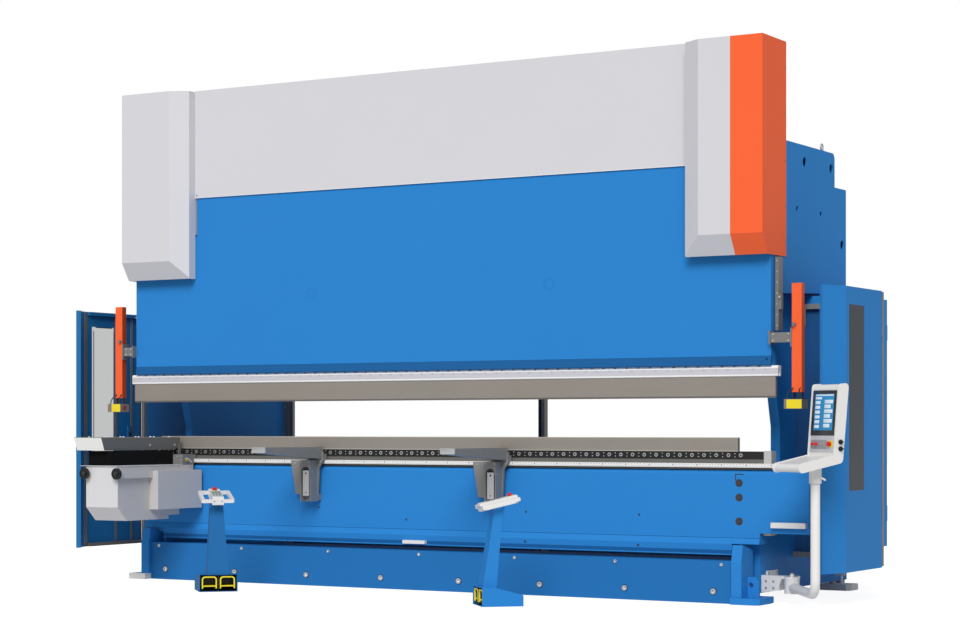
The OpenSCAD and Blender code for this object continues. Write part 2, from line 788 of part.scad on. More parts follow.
module laser_arm(x) {
    x0 = x + 0.4;
    color(orange) difference() {
        box([x0, laser_y, laser_z], [x0 + arm_w, laser_y + arm_d, laser_z + arm_len]);
        box([x0 + 4, laser_y + 4, laser_z - 1], [x0 + arm_w - 4, laser_y + arm_d - 4, laser_z + arm_len - 4]);
    }
    // grip on the rear side
    color(steel) translate([x0 + arm_w - 12, laser_y + arm_d, laser_z + 492]) {
        for (z = [0, 130]) translate([0, -1, z]) bar_y(6, 34);
        translate([0, 34, -12]) cylinder(r = 8, h = 154);
    }
    // round knob on the inner face
    color(steel) translate([x0 + 20, laser_y - 22, bracket_z + 140]) bar_y(14, 22 + eps);
}

head_span = 139;
// Head whose inner end stands at x, hanging from two straps inside the tube that starts at tube_x.
module laser_head(x, tube_x) {
    z0 = laser_z - 122;
    y0 = laser_y - 56;
    color(steel) difference() {
        box([x, y0, z0], [x + head_span, y0 + 120, z0 + 70]);
        // receiver window towards the tools
        translate([x - 1, y0 + 60, z0 + 35]) bar_x(16, 9);
    }
    color(dark) for (s = [tube_x + 4.4, tube_x + arm_w - 8.6])
        box([s, laser_y + 6, z0 + 70 - eps], [s + 5, laser_y + arm_d - 6, laser_z + 30]);
}

module laser_arm_left() mirror([1, 0, 0]) laser_arm(laser_left_x);
module laser_arm_right() laser_arm(laser_x);
module laser_head_left() mirror([1, 0, 0]) laser_head(laser_x - 87, laser_left_x);
module laser_head_right() laser_head(laser_x - 39, laser_x);

// ---- Sheet follower -----------------------------------------------------------------

fol_x = -half + 362;
fol_right = fol_x + fbody_w;
fol_top = table_h - 5;
fol_y = -1030;
tray_x = fol_x - 74;
tray_top = die_top - 7;
wheel_shaft = 13;
wheel_z = fol_top - 61;
function wheel_stations() = [fol_x + 14, fol_right + 18];
case_y = -623;
function follower_profile() = [
    [fol_y, fol_top], [fol_y, fol_top - 339], [fol_y + 115, fol_top - 452],
    [-370, fol_top - 452], [-370, fol_top - 420], [-226, fol_top - 420],
    [-226, fol_top - 365], [-band_y - 9, fol_top - 365], [-band_y - 9, fol_top]
];

module follower_body() {
    // sheet-metal body with a sloping foot and a stepped underside
    color(pale) difference() {
        union() {
            yz(fol_x, fbody_w) polygon(follower_profile());
            // drive casing and a slim strip on the inner side
            box([fol_right - eps, case_y, fol_top - 365], [fol_right + 92, -band_y - 9, fol_top - 42]);
            box([fol_right - eps, fol_y, fol_top - 99], [fol_right + 36, case_y + eps, fol_top - 18]);
        }
        yz(fol_x + sheet_t, fbody_w - 2 * sheet_t) polygon([
            [fol_y + sheet_t, fol_top - sheet_t], [fol_y + sheet_t, fol_top - 337],
            [fol_y + 117, fol_top - 448], [-374, fol_top - 448], [-374, fol_top - 416],
            [-230, fol_top - 416], [-230, fol_top - 361], [-band_y - 13, fol_top - 361],
            [-band_y - 13, fol_top - sheet_t]
        ]);
        for (x = wheel_stations()) translate([x, fol_y - 1, wheel_z])
            bar_y(wheel_shaft + run_gap, sheet_t + 2);
    }
    // cover plate, pivot housing under the tray, and the carriage on the rail
    color(black) box([fol_x + 2, -1000, fol_top + 4 - eps], [fol_x + 235, -180, fol_top + 124]);
    color(white) box([fol_x - 55, fol_y - 12, fol_top - eps], [fol_right + 4, -180, fol_top + 4]);
    color(bright) {
        ear = tray_x - 14;
        far = tray_x + tray_w + 2;
        box([ear, -180 - eps, fol_top - eps], [fol_right + 1, -26, fol_top + 90]);
        box([fol_right - 150, -26 - eps, rail_z + rail_h + 1], [fol_right + 1, -2, fol_top + 90]);
        // ears and pin of the tray's pivot
        for (x = [ear, far]) box([x, tray_pivot_y - 14, fol_top + 90 - eps], [x + 12, tray_pivot_y + 14,
            tray_pivot_z + 14]);
        translate([ear, tray_pivot_y, tray_pivot_z]) bar_x(10, far + 12 - ear);
    }
}

tray_pivot_y = -78;
tray_pivot_z = tray_top - 70;
module follower_tray() {
    low = tray_top - 108;
    color(steel) difference() {
        yz(tray_x, tray_w) polygon([
            [-60 - tray_len, tray_top], [-60 - tray_len + 40, low], [-130, low], [-60, low + 50],
            [-60, tray_top]
        ]);
        // hollow underside
        yz(tray_x + 6, tray_w - 12) polygon([
            [-60 - tray_len + 60, low - 1], [-60 - tray_len + 50, tray_top - 8], [-140, tray_top - 8],
            [-140, low - 1]
        ]);
        translate([tray_x - 1, tray_pivot_y, tray_pivot_z]) bar_x(10 + run_gap, tray_w + 2);
    }
    // rolling balls along the top
    color(white) for (i = [0 : 4], x = [45, tray_w - 45])
        translate([tray_x + x, -160 - i * 200, tray_top - 4]) sphere(r = 12, $fn = 32);
}

module handwheel(x) {
    color(black) translate([x, fol_y - 14, wheel_z]) {
        translate([0, -34, 0]) rotate([-90, 0, 0]) difference() {
            cylinder(r = fwheel_r, h = 20);
            translate([0, 0, -1]) cylinder(r = fwheel_r - 10, h = 6);
        }
        translate([0, -38, 0]) bar_y(wheel_shaft, 38 + 14 + sheet_t + 0.5);
        translate([fwheel_r * 0.55, -54, 0]) bar_y(7, 30);
    }
}

module follower_wheel_left() handwheel(wheel_stations()[0]);
module follower_wheel_right() handwheel(wheel_stations()[1]);

// ---- Front supports --------------------------------------------------------------------

sup_left = -half + 1993;
sup_right = half - 2338;
sup_y = -160;
arm_top = die_top - 85;
module front_support(x) translate([x, 0, 0]) {
    low = table_h - 296;
    plate_f = sup_y + 100;
    plate_b = sup_y + 120;
    color(bright) {
        // block with an arched pocket for the lever, open downwards
        difference() {
            box([-81, sup_y, low], [21, plate_f + 7, table_h + 45]);
            xz(sup_y - 1, 61) polygon([
                [-72, low - 1], [15, low - 1], [15, low + 246], [8, low + 268], [-10, low + 285],
                [-47, low + 285], [-65, low + 268], [-72, low + 246]
            ]);
            translate([-82, sup_y + 30, lever_z]) bar_x(9 + run_gap, 104);
        }
        // back plate with a notched upper corner
        xz(plate_f, 20) polygon([
            [-247, table_h + 42], [-198, table_h - 240], [-81, table_h - 240], [-81, low + 4],
            [21, low + 4], [36, table_h - 21], [75, table_h + 40], [75, table_h + 115],
            [48, table_h + 115], [48, table_h + 78], [-81, table_h + 78], [-81, table_h + 42]
        ]);
        box([-81, plate_b - eps, rail_z + rail_h + 1.5], [75, -2, arm_top - 60]);
        box([-60, plate_b - eps, low + 10], [21, -0.5, low + 60]);
    }
    // tapered arm with a rounded end plate
    color(steel) yz(-support_w / 2, support_w) polygon([
        [sup_y, arm_top], [sup_y, arm_top - 93], [sup_y - support_reach, arm_top - 45],
        [sup_y - support_reach, arm_top]
    ]);
    color(steel) box([-support_w / 2, sup_y - eps, arm_top - 93], [support_w / 2, plate_b, arm_top]);
}

module support_left() front_support(sup_left);
module support_right() front_support(sup_right);

lever_z = table_h - 50;
module lever(x) color(bright) translate([x - 30, sup_y + 30, lever_z]) {
    translate([-50, 0, 0]) bar_x(9, 100);
    box([-30, -22, -200], [30, -8, 10]);
    box([-30, -8 - eps, -12], [30, 4, 10]);
}

module support_lever_left() lever(sup_left);
module support_lever_right() lever(sup_right);

// ---- Console -----------------------------------------------------------------------------

hub_x = frame_out + 262;
hub_y = 110;
hub_z = 123;
boom_turn = -55.4;
boom_bend = 110;
module console_bracket() color(white) {
    box([frame_out, hub_y + 126, hub_z - 52], [frame_out + 14, hub_y + 316, hub_z + 107]);
    xz(hub_y + 40, 90) polygon([
        [frame_out, hub_z - 50], [frame_out, hub_z + 80],
        [hub_x - 100, hub_z + 78], [hub_x + 10, hub_z + 78], [hub_x + 10, hub_z + 58],
        [hub_x - 100, hub_z + 58], [hub_x - 120, hub_z], [hub_x - 120, hub_z - 30]
    ]);
    difference() {
        translate([hub_x, hub_y, hub_z + 58]) cylinder(r = 58, h = 20);
        translate([hub_x, hub_y, hub_z + 40]) cylinder(r = 16 + run_gap, h = 60);
    }
    box([hub_x - 30, hub_y + 30, hub_z + 58], [hub_x + 10, hub_y + 80, hub_z + 78]);
}

socket_z = table_h - 84;
module console_arm() translate([hub_x, hub_y, hub_z]) rotate([0, 0, boom_turn]) color(white) {
    // hub block with its pin
    translate([0, 0, -46]) cylinder(r = 56, h = 46 + 57.5);
    translate([0, 0, 57]) cylinder(r = 16, h = 40);
    rotate([0, 90, 0]) translate([0, 0, 20]) cylinder(r = boom_r, h = boom_reach - boom_bend - 20);
    translate([boom_reach - boom_bend, 0, boom_bend]) rotate([90, 0, 0])
        rotate([0, 0, -90]) rotate_extrude(angle = 90) translate([boom_bend, 0]) circle(r = boom_r);
    translate([boom_reach, 0, boom_bend]) cylinder(r = boom_r, h = socket_z - hub_z - boom_bend);
    translate([boom_reach, 0, socket_z - hub_z - eps]) cylinder(r = 25, h = 60);
}

pole_x = hub_x + boom_reach * cos(boom_turn);
pole_y = hub_y + boom_reach * sin(boom_turn);
panel_turn = -29.3;
shelf_top = table_h + 28;
head_low = shelf_top + 100;
head_high = shelf_top + panel_h + 88;
// Side profile of the console: a sloping keyboard shelf and an upright screen part.
module console_profile(i) {
    link([-229, shelf_top + 3], 35 - i, [93, shelf_top + 67], 35 - i);
    link([83, head_low], 35 - i, [114, head_high], 25 - i);
    link([93, shelf_top + 67], 35 - i, [149, head_high], 28 - i);
    link([114, head_high], 25 - i, [149, head_high], 28 - i);
    polygon([[83, head_low], [93, shelf_top + 67], [149, head_high], [114, head_high]]);
}

// Puts its children in the console's own frame: X across the screen, Y into it.
module at_console() {
    translate([pole_x, pole_y, 0]) rotate([0, 0, panel_turn]) children();
}

// Lean of the recessed screen face, and its place at a given height.
screen_lean = atan2(41, head_high - head_low);
function face_y(z) = 53.5 + (z - head_low) * 41 / (head_high - head_low);

// Puts its children on the screen face, with their Z pointing out of it.
module on_face(x, z) {
    at_console() translate([x, face_y(z), z]) rotate([90 - screen_lean, 0, 0]) children();
}

button_gap = 0.35;
button_z = shelf_top + 169;
push_r = 8;
stop_r = 13;
key_r = 11;
// Places of the push buttons, the stop button and the key switches.
push_x = [-92, -50];
stop_x = 95;
key_y = 101;
key_z = [shelf_top + 184, shelf_top + 136];
// Width of the raised rim along each side of the housing
rim_w = 14;

module console_housing() {
    color(white) difference() {
        at_console() {
            yz(-panel_w / 2, rim_w) console_profile(0);
            yz(panel_w / 2 - rim_w, rim_w) console_profile(0);
            yz(-panel_w / 2 + rim_w - eps, panel_w - 2 * rim_w + 2 * eps) console_profile(5);
        }
        for (x = push_x) on_face(x, button_z) translate([0, 0, -16])
            cylinder(r = push_r + button_gap, h = 30);
        on_face(stop_x, button_z) translate([0, 0, -18]) cylinder(r = stop_r + button_gap, h = 30);
        for (z = key_z) at_console() translate([panel_w / 2 - 12, key_y, z])
            bar_x(key_r + button_gap, 20);
    }
    // swivel socket, and the handle of its clamp
    color(steel) at_console() {
        difference() {
            translate([0, 0, socket_z + 2]) cylinder(r = 44, h = shelf_top + 25 - socket_z);
            translate([0, 0, socket_z]) cylinder(r = 25 + run_gap, h = 62);
        }
        translate([40, 10, socket_z + 50]) rotate([0, 20, 0]) bar_x(7, 60);
    }
}

module panel_button(x, z, r, len) {
    on_face(x, z) {
        translate([0, 0, -8]) cylinder(r = r, h = len + 8);
        translate([0, 0, len - 9]) cylinder(r = r * 1.35, h = 9);
    }
}

module console_button_left() color(red) panel_button(push_x[0], button_z, push_r, 20);
module console_button_right() color(red) panel_button(push_x[1], button_z, push_r, 20);
module console_stop() color(red) panel_button(stop_x, button_z, stop_r, 26);

module key_switch(z) color(dark) at_console() translate([panel_w / 2, key_y, z]) {
    translate([-8, 0, 0]) bar_x(key_r, 20);
    translate([button_gap, 0, 0]) bar_x(key_r + 6, 10);
    box([12 - eps, -14, -4], [24, 14, 4]);
}
module key_switch_upper() key_switch(key_z[0]);
module key_switch_lower() key_switch(key_z[1]);

// ---- Foot pedestals -----------------------------------------------------------------------

ped_left = [-half + 1652, -958, 45];
ped_right = [half - 1755, -1086, -46];
ped_d = 310;
ped_front = 140;
ped_rear = 80;
// Puts its children at a pedestal, whose front looks along its own -Y.
module at_ped(p) {
    translate([p[0], p[1], 0]) rotate([0, 0, p[2]]) children();
}

pedal_x = 72;
pedal_y = 27;
pedal_z = 44;
module ped_outline(i, open) {
    polygon([
        [-ped_d / 2 - open, i], [ped_d / 2 - i, i], [ped_d / 2 - i, ped_rear - i],
        [-ped_d / 2 + 90, ped_front - i], [-ped_d / 2 - open, ped_front - i]
    ]);
}

module pedestal_stand() {
    difference() {
        yz(-ped_w / 2, ped_w) ped_outline(0, 0);
        yz(-ped_w / 2 + 5, ped_w - 10) ped_outline(5, 1);
    }
    // ears and pin of each pedal
    for (x = [-pedal_x, pedal_x]) {
        for (k = [-28, 22]) box([x + k, pedal_y - 9, 5 - eps], [x + k + 6, pedal_y + 9, pedal_z + 9]);
        translate([x - 28, pedal_y, pedal_z]) bar_x(5, 56);
    }
    // tapered column leaning backwards, cut off under the control
    difference() {
        hull() {
            translate([-85, -135, ped_front - 12]) cube([170, 103, 8]);
            translate([-49, -31, ped_front + ped_col + 16]) cube([98, 59, 4]);
        }
        at_control() box([-200, -200, -body_t], [200, 200, 100]);
    }
}

module pedestal_stands() color(blue) {
    at_ped(ped_left) pedestal_stand();
    at_ped(ped_right) pedestal_stand();
}

control_tilt = 13;
// Half thickness of the control's middle body, and the place of its stop button
body_t = 30;
stop_y = 100;
// Tilted frame of the hand control on top of the column.
module at_control() {
    translate([0, -1, ped_front + ped_col + 31]) rotate([control_tilt, 0, 0]) children();
}

module control_housing() at_control() difference() {
    union() {
        // middle housing, and a hand loop at each side
        yz(-45, 90) polygon([
            [-146, -body_t], [140, -body_t], [146, 8 - body_t], [146, body_t - 5], [138, body_t],
            [-134, body_t], [-146, body_t - 8]
        ]);
        both() translate([0, 0, -13]) linear_extrude(26) {
            link([40, -134], 13, [118, -134], 13);
            link([118, -134], 13, [114, 134], 13.1);
            link([114, 134], 13, [40, 134], 13);
        }
    }
    translate([0, stop_y, body_t - 22]) cylinder(r = 10 + button_gap, h = 40);
}

module control_housings() color(white) {
    at_ped(ped_left) control_housing();
    at_ped(ped_right) control_housing();
}

module stop_button() at_control() translate([0, stop_y, body_t - 12]) {
    cylinder(r = 10, h = 34);
    translate([0, 0, 12 + stop_travel]) cylinder(r = 19, h = 13);
}
module stop_left() color(red) at_ped(ped_left) stop_button();
module stop_right() color(red) at_ped(ped_right) stop_button();

// A pedal: a tread hinged at its back, and an arched rim over the toes.
module pedal(side) translate([side * pedal_x, 0, 0]) {
    translate([-58, -139, 40]) cube([116, 151, 9]);
    difference() {
        translate([-20, 12 - eps, pedal_z - 9]) cube([40, 24, 18]);
        translate([-21, pedal_y, pedal_z]) bar_x(5 + run_gap, 42);
    }
    xz(-150, 12) difference() {
        union() {
            polygon([[-60, 26], [60, 26], [60, 96], [-60, 96]]);
            link([-34, 96], 26, [34, 96], 26);
        }
        polygon([[-50, 20], [50, 20], [50, 94], [-50, 94]]);
        link([-32, 94], 18, [32, 94], 18);
    }
}

module pedal_left_a() color(yellow) at_ped(ped_left) pedal(-1);
module pedal_left_b() color(yellow) at_ped(ped_left) pedal(1);
module pedal_right_a() color(yellow) at_ped(ped_right) pedal(-1);
module pedal_right_b() color(yellow) at_ped(ped_right) pedal(1);

// ---- Side guards ---------------------------------------------------------------------------

guard_t = 3;
guard_slant = 85;
window = [94, 375, 594, -130];
// Upright folded sheet, with an inward flange along its front edge.
module guard() {
    front = -232;
    bend = 13;
    low = guard_low;
    high = guard_top;
    color(blue) difference() {
        translate([0, 0, low]) linear_extrude(high - low) polygon([
            [guard_x, guard_depth], [guard_x, bend], [guard_x - guard_slant, front],
            [guard_x - guard_slant - 30, front + 28], [guard_x - guard_slant - 28, front + 31],
            [guard_x - guard_slant - 0.5, front + 5], [guard_x - guard_t, bend + 0.7],
            [guard_x - guard_t, guard_depth]
        ]);
        guard_window(0, 1);
    }
    // stiffening angles along the top, foot and rear
    color(blue) for (z = [low, high - 30])
        box([guard_x - 33, bend + 2, z], [guard_x - guard_t + eps, guard_depth - 2, z + 30]);
    // moving halves of the hinges
    color(blue) for (z = guard_hinges) {
        translate([guard_pin[0], guard_pin[1], z + hinge_h + 0.4]) cylinder(r = hinge_r, h = hinge_h);
        box([guard_x - guard_t, guard_depth - 20, z + hinge_h + 0.4],
            [guard_x, guard_pin[1], z + 2 * hinge_h]);
    }
    color(steel) box([guard_x - 14, 560, 1180], [guard_x - guard_t + eps, 600, 1320]);
    // viewing pane in its opening
    color(dark) guard_window(0.2, 0);
}

guard_hinges = [guard_low + 220, guard_top - 340];
guard_pin = [guard_x - hinge_r, guard_depth + 8];
// Tall window with rounded corners; i sets it in and cut makes it a through cut.
module guard_window(i, cut) {
    y0 = window[0] + i;
    y1 = window[1] - i;
    z0 = guard_low + window[2] + i;
    z1 = guard_top + window[3] - i;
    r = 30;
    x = guard_x - guard_t + (cut > 0 ? -1 : 0.2);
    len = guard_t - 0.4 + (cut > 0 ? 2.4 : 0);
    translate([x, 0, 0]) {
        box([0, y0 + r, z0], [len, y1 - r, z1]);
        box([0, y0, z0 + r], [len, y1, z1 - r]);
        for (y = [y0 + r, y1 - r], z = [z0 + r, z1 - r]) translate([0, y, z]) bar_x(r, len);
    }
}

module guard_right() guard();
module guard_left() mirror([1, 0, 0]) guard();

// ---- The whole machine ----------------------------------------------------------

// The parts are drawn from the middle of the clamp's front face. These four sizes are
// the machine's reach to the left guard, the console, the right pedestal and the fence.
reach_left = -guard_x;
reach_right = pole_x + panel_w / 2 * cos(panel_turn) - 177 * sin(panel_turn);
reach_front = ped_right[1] - ped_w / 2 * sin(-ped_right[2]) - ped_d / 2 * cos(ped_right[2]);
reach_back = fence_y + 60;

// Moves the machine so that its bounding box is centred over the origin.
module machine() {
    translate([-(reach_left + reach_right) / 2, -(reach_front + reach_back) / 2, 0]) children();
}

machine() side_frames();
machine() bed();
machine() base_beam();
machine() machine_screws();
machine() levelling_feet();
machine() rear_beams();
machine() crowning_table();
machine() die_holder();
machine() die();
machine() front_rail();
machine() top_cover();
machine() corner_covers();
machine() corner_trim();
machine() cylinders();
machine() power_unit();
machine() ram_guides();
machine() console_bracket();
machine() pedestal_stands();
machine() control_housings();
machine() cabinet();
machine() cabinet_door();
machine() rear_fence();
machine() gauge_guides();
machine() bed_fittings();
machine() ram();
machine() piston_rods();
machine() clamp_bar();
machine() clamp_screws();
machine() punch();
machine() laser_brackets();
machine() laser_arm_left();
machine() laser_head_left();
machine() laser_arm_right();
machine() laser_head_right();
machine() follower_body();
machine() follower_tray();
machine() follower_wheel_left();
machine() follower_wheel_right();
machine() support_left();
machine() support_right();
machine() support_lever_left();
machine() support_lever_right();
machine() gauge_beam();
machine() gauge_finger_left();
machine() gauge_finger_right();
machine() console_arm();
machine() console_housing();
machine() console_button_left();
machine() console_button_right();
machine() console_stop();
machine() key_switch_upper();
machine() key_switch_lower();
machine() pedal_left_a();
machine() pedal_left_b();
machine() pedal_right_a();
machine() pedal_right_b();
machine() stop_left();
machine() stop_right();
machine() guard_left();
machine() guard_right();
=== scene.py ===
import math

import bmesh
import bpy
from mathutils import Matrix, Vector


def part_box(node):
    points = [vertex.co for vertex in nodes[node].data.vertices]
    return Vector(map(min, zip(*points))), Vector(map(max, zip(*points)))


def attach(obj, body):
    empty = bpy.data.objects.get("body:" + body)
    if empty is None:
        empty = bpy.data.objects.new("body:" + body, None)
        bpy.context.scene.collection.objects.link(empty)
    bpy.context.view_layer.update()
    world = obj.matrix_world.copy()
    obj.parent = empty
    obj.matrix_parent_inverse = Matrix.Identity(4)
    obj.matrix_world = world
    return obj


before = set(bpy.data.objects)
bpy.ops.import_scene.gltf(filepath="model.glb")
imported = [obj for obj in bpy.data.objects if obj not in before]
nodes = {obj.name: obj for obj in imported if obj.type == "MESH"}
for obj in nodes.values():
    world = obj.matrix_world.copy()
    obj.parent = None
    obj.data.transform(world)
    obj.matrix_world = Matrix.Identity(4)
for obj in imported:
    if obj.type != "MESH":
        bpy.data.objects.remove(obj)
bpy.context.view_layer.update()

# ---- Datum ---------------------------------------------------------------------------
# The machine is set out from the middle of the tool clamp's front edge, on the floor.
# spot() turns a place given from there, in millimetres, into the frame's metres.
clamp_lo, clamp_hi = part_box("clamp_bar")
datum = Vector(((clamp_lo.x + clamp_hi.x) / 2, clamp_lo.y, 0.0))


def spot(x, y, z):
    return datum + Vector((x, y, z)) / 1000


# ---- Camera --------------------------------------------------------------------------
# The machine is seen from its right front, level, at chest height,
# from so far back that its long lines hardly converge.
camera = bpy.data.objects.new("camera", bpy.data.cameras.new("camera"))
camera.location = spot(9532, -15212, 1300)
camera.rotation_euler = (math.radians(90), 0, math.radians(30.71))
camera.data.lens = 83.4
camera.data.sensor_width = 36
camera.data.shift_y = 0.1128
camera.data.clip_end = 200
bpy.context.scene.collection.objects.link(camera)
bpy.context.scene.camera = camera

# ---- Side plates and rear beams ------------------------------------------------------
# Two thick side plates and the beams that tie them at the rear, cut from plate and welded.
# They are sprayed in one thick blue two-part paint, smooth with a slight orange peel.


class Tone:
    """A socket in a material. Sums on it add Math nodes, and add() makes any other node."""

    def __init__(self, tree, socket=None):
        self.tree = tree
        self.socket = socket

    def add(self, kind, settings=None, inputs=None, out=0):
        made = self.tree.nodes.new(kind)
        for name, value in (settings or {}).items():
            setattr(made, name, value)
        self.fill(made, inputs or {})
        return Tone(self.tree, made.outputs[out] if len(made.outputs) else None)

    def fill(self, node, inputs):
        """Links or plain values into the sockets of one node."""
        for key, value in inputs.items():
            if isinstance(value, Tone):
                self.tree.links.new(value.socket, node.inputs[key])
            else:
                node.inputs[key].default_value = value

    def sum_of(self, operation, first, second=0.0):
        return self.add("ShaderNodeMath", {"operation": operation}, {0: first, 1: second})

    def __add__(self, other):
        return self.sum_of("ADD", self, other)

    def __sub__(self, other):
        return self.sum_of("SUBTRACT", self, other)

    def __rsub__(self, other):
        return self.sum_of("SUBTRACT", other, self)

    def __mul__(self, other):
        return self.sum_of("MULTIPLY", self, other)

    def __mod__(self, other):
        return self.sum_of("FLOORED_MODULO", self, other)

    def __lt__(self, other):
        return self.sum_of("LESS_THAN", self, other)

    def __gt__(self, other):
        return self.sum_of("GREATER_THAN", self, other)

    def __abs__(self):
        return self.sum_of("ABSOLUTE", self)

    __radd__ = __add__
    __rmul__ = __mul__

    def within(self, low, high):
        return (self > low) * (self < high)

    def blend(self, under, over):
        """The colour under, turned into the colour over where this value is 1."""
        settings = {"data_type": "RGBA"}
        return self.add("ShaderNodeMix", settings, {0: self, 6: under, 7: over}, out=2)


def tint(colour, amount):
    return tuple(min(1.0, c * amount) for c in colour) + (1.0,)


def finish(name, colour, rough, metal=0.0, lacquer=0.0, patches=0.05, grain=1.5, bump=0.05,
           stretch=(1, 1, 1), spread=0.08, shine=0.4, marks=None, clear=0.0):
    """A sprayed, ground or moulded surface: broad patches, fine grain and wear.

    marks(x, y, z) takes a place in millimetres and gives masks, each with its colour and
    roughness; several of them paint shade and highlights. clear is how far the first of them
    can be seen through.
    """
    material = bpy.data.materials.new(name)
    material.use_nodes = True
    tree = material.node_tree
    place = Tone(tree).add("ShaderNodeTexCoord", out=3)
    drawn = place.add("ShaderNodeVectorMath", {"operation": "MULTIPLY"}, {0: place, 1: stretch})

    def noise(vector, scale, detail, roughness):
        return place.add("ShaderNodeTexNoise", {}, {
            "Vector": vector, "Scale": scale, "Detail": detail, "Roughness": roughness})

    broad = noise(place, 1.7, 4.0, 0.55)
    fine = noise(drawn, 1000 / grain, 2.0, 0.6)
    smear = noise(drawn, 120 / grain, 3.0, 0.6)
    shade = (broad * 0.6 + smear * 0.4).blend(tint(colour, 1 - patches), tint(colour, 1 + patches))
    gloss = smear * spread + (rough - spread / 2)
    solid = 1.0
    if marks:
        split = place.add("ShaderNodeSeparateXYZ", {}, {0: place}).socket.node
        x, y, z = ((Tone(tree, split.outputs[i]) - datum[i]) * 1000 for i in range(3))
        unmarked = 1.0
        for mask, paint, paint_rough in marks(x, y, z):
            shade = mask.blend(shade, (*paint, 1.0))
            gloss = gloss * (1 - mask) + mask * paint_rough
            unmarked = (1 - mask) * unmarked
            if clear:
                solid = 1 - mask * clear
                clear = 0.0
        metal = unmarked * metal if metal else 0.0
    dimple = fine.add("ShaderNodeBump", {}, {"Strength": bump, "Distance": 0.0004, "Height": fine})
    place.fill(tree.nodes["Principled BSDF"], {
        "Base Color": shade, "Roughness": gloss, "Metallic": metal, "Alpha": solid, "Normal": dimple,
        "Specular IOR Level": shine, "Coat Weight": lacquer, "Coat Roughness": 0.15})
    return material


def coat(material, *parts):
    for part in parts:
        for slot in nodes[part].material_slots:
            slot.material = material


BLUE = (0.024, 0.222, 0.590)


def machine_blue(name, marks=None):
    return finish(name, BLUE, 0.5, grain=4, bump=0.06, shine=0.12, marks=marks)


blue_paint = machine_blue("blue_paint")
coat(blue_paint, "side_frames", "rear_beams")

# ---- Base beam -----------------------------------------------------------------------
# A welded box beam under the bed, between two end posts. Between the posts it is
# coloured a darker blue than the posts.
BASE_BLUE = (0.017, 0.158, 0.43)
POSTS_INSIDE = 2742.5


def base_marks(x, y, z):
    return [(abs(x) < POSTS_INSIDE, BASE_BLUE, 0.5)]


coat(machine_blue("base_paint", base_marks), "base_beam")

# ---- Feet and machine screws ---------------------------------------------------------
# Steel feet level the machine on the floor. Bright plated screws hold the fixed parts
# together, and the same plated steel comes back on the screws of the moving ones.
coat(finish("foot_steel", (0.82, 0.81, 0.79), 0.5, spread=0.15), "levelling_feet")
screw_steel = finish("screw_steel", (0.66, 0.66, 0.66), 0.35, metal=0.75, patches=0.1, spread=0.15)
coat(screw_steel, "machine_screws")

# ---- Upper beam ----------------------------------------------------------------------
# One thick plate, in the same blue. Along its foot a raised strip with a chamfered top
# edge carries the tool clamp. The strip's front is coloured a darker blue as painted shade,
# with lines of painted shadow at its top and half way down, and the darkest painted shade
# in the gap at its foot.
STRIP_FOOT, STRIP_TOP = 1765, 1837
STRIP_SHADE_BLUE = (0.0135, 0.118, 0.325)
SHADOW_LINE_BLUE = (0.010, 0.095, 0.28)
GAP_SHADE_BLUE = (0.01, 0.05, 0.14)


def beam_shade_marks(x, y, z):
    front = y < 20
    shadow_lines = z.within(1799, 1803) + z.within(STRIP_TOP - 3, STRIP_TOP)
    return [(z.within(STRIP_FOOT, STRIP_TOP) * front, STRIP_SHADE_BLUE, 0.5), (shadow_lines * front, SHADOW_LINE_BLUE, 0.5),
            (z.within(STRIP_FOOT, STRIP_FOOT + 5) * front, GAP_SHADE_BLUE, 0.5)]


coat(machine_blue("beam_paint_and_shade", beam_shade_marks), "ram")

# ---- Tool clamp ----------------------------------------------------------------------
# A long bar of planed steel in near-white paint, bolted under the beam. A groove runs
# along its front, drawn as a dark line of painted shade, and small dark keys along its
# top edge hold the intermediate blocks.
PITCH = 100


def clamp_marks(x, y, z):
    groove_shade, foot = (0.42, 0.41, 0.45), (0.58, 0.565, 0.605)
    front = y < 3
    return [(z.within(1739.5, 1742.5) * front, groove_shade, 0.5), (z.within(1700, 1739) * front, foot, 0.45)]


clamp_paint_and_shade = finish("clamp_paint_and_shade", (0.88, 0.88, 0.87), 0.35, lacquer=0.15, patches=0.02, marks=clamp_marks)
coat(clamp_paint_and_shade, "clamp_bar", "clamp_screws")
dark_plastic = finish("dark_plastic", (0.03, 0.032, 0.035), 0.5, spread=0.15)


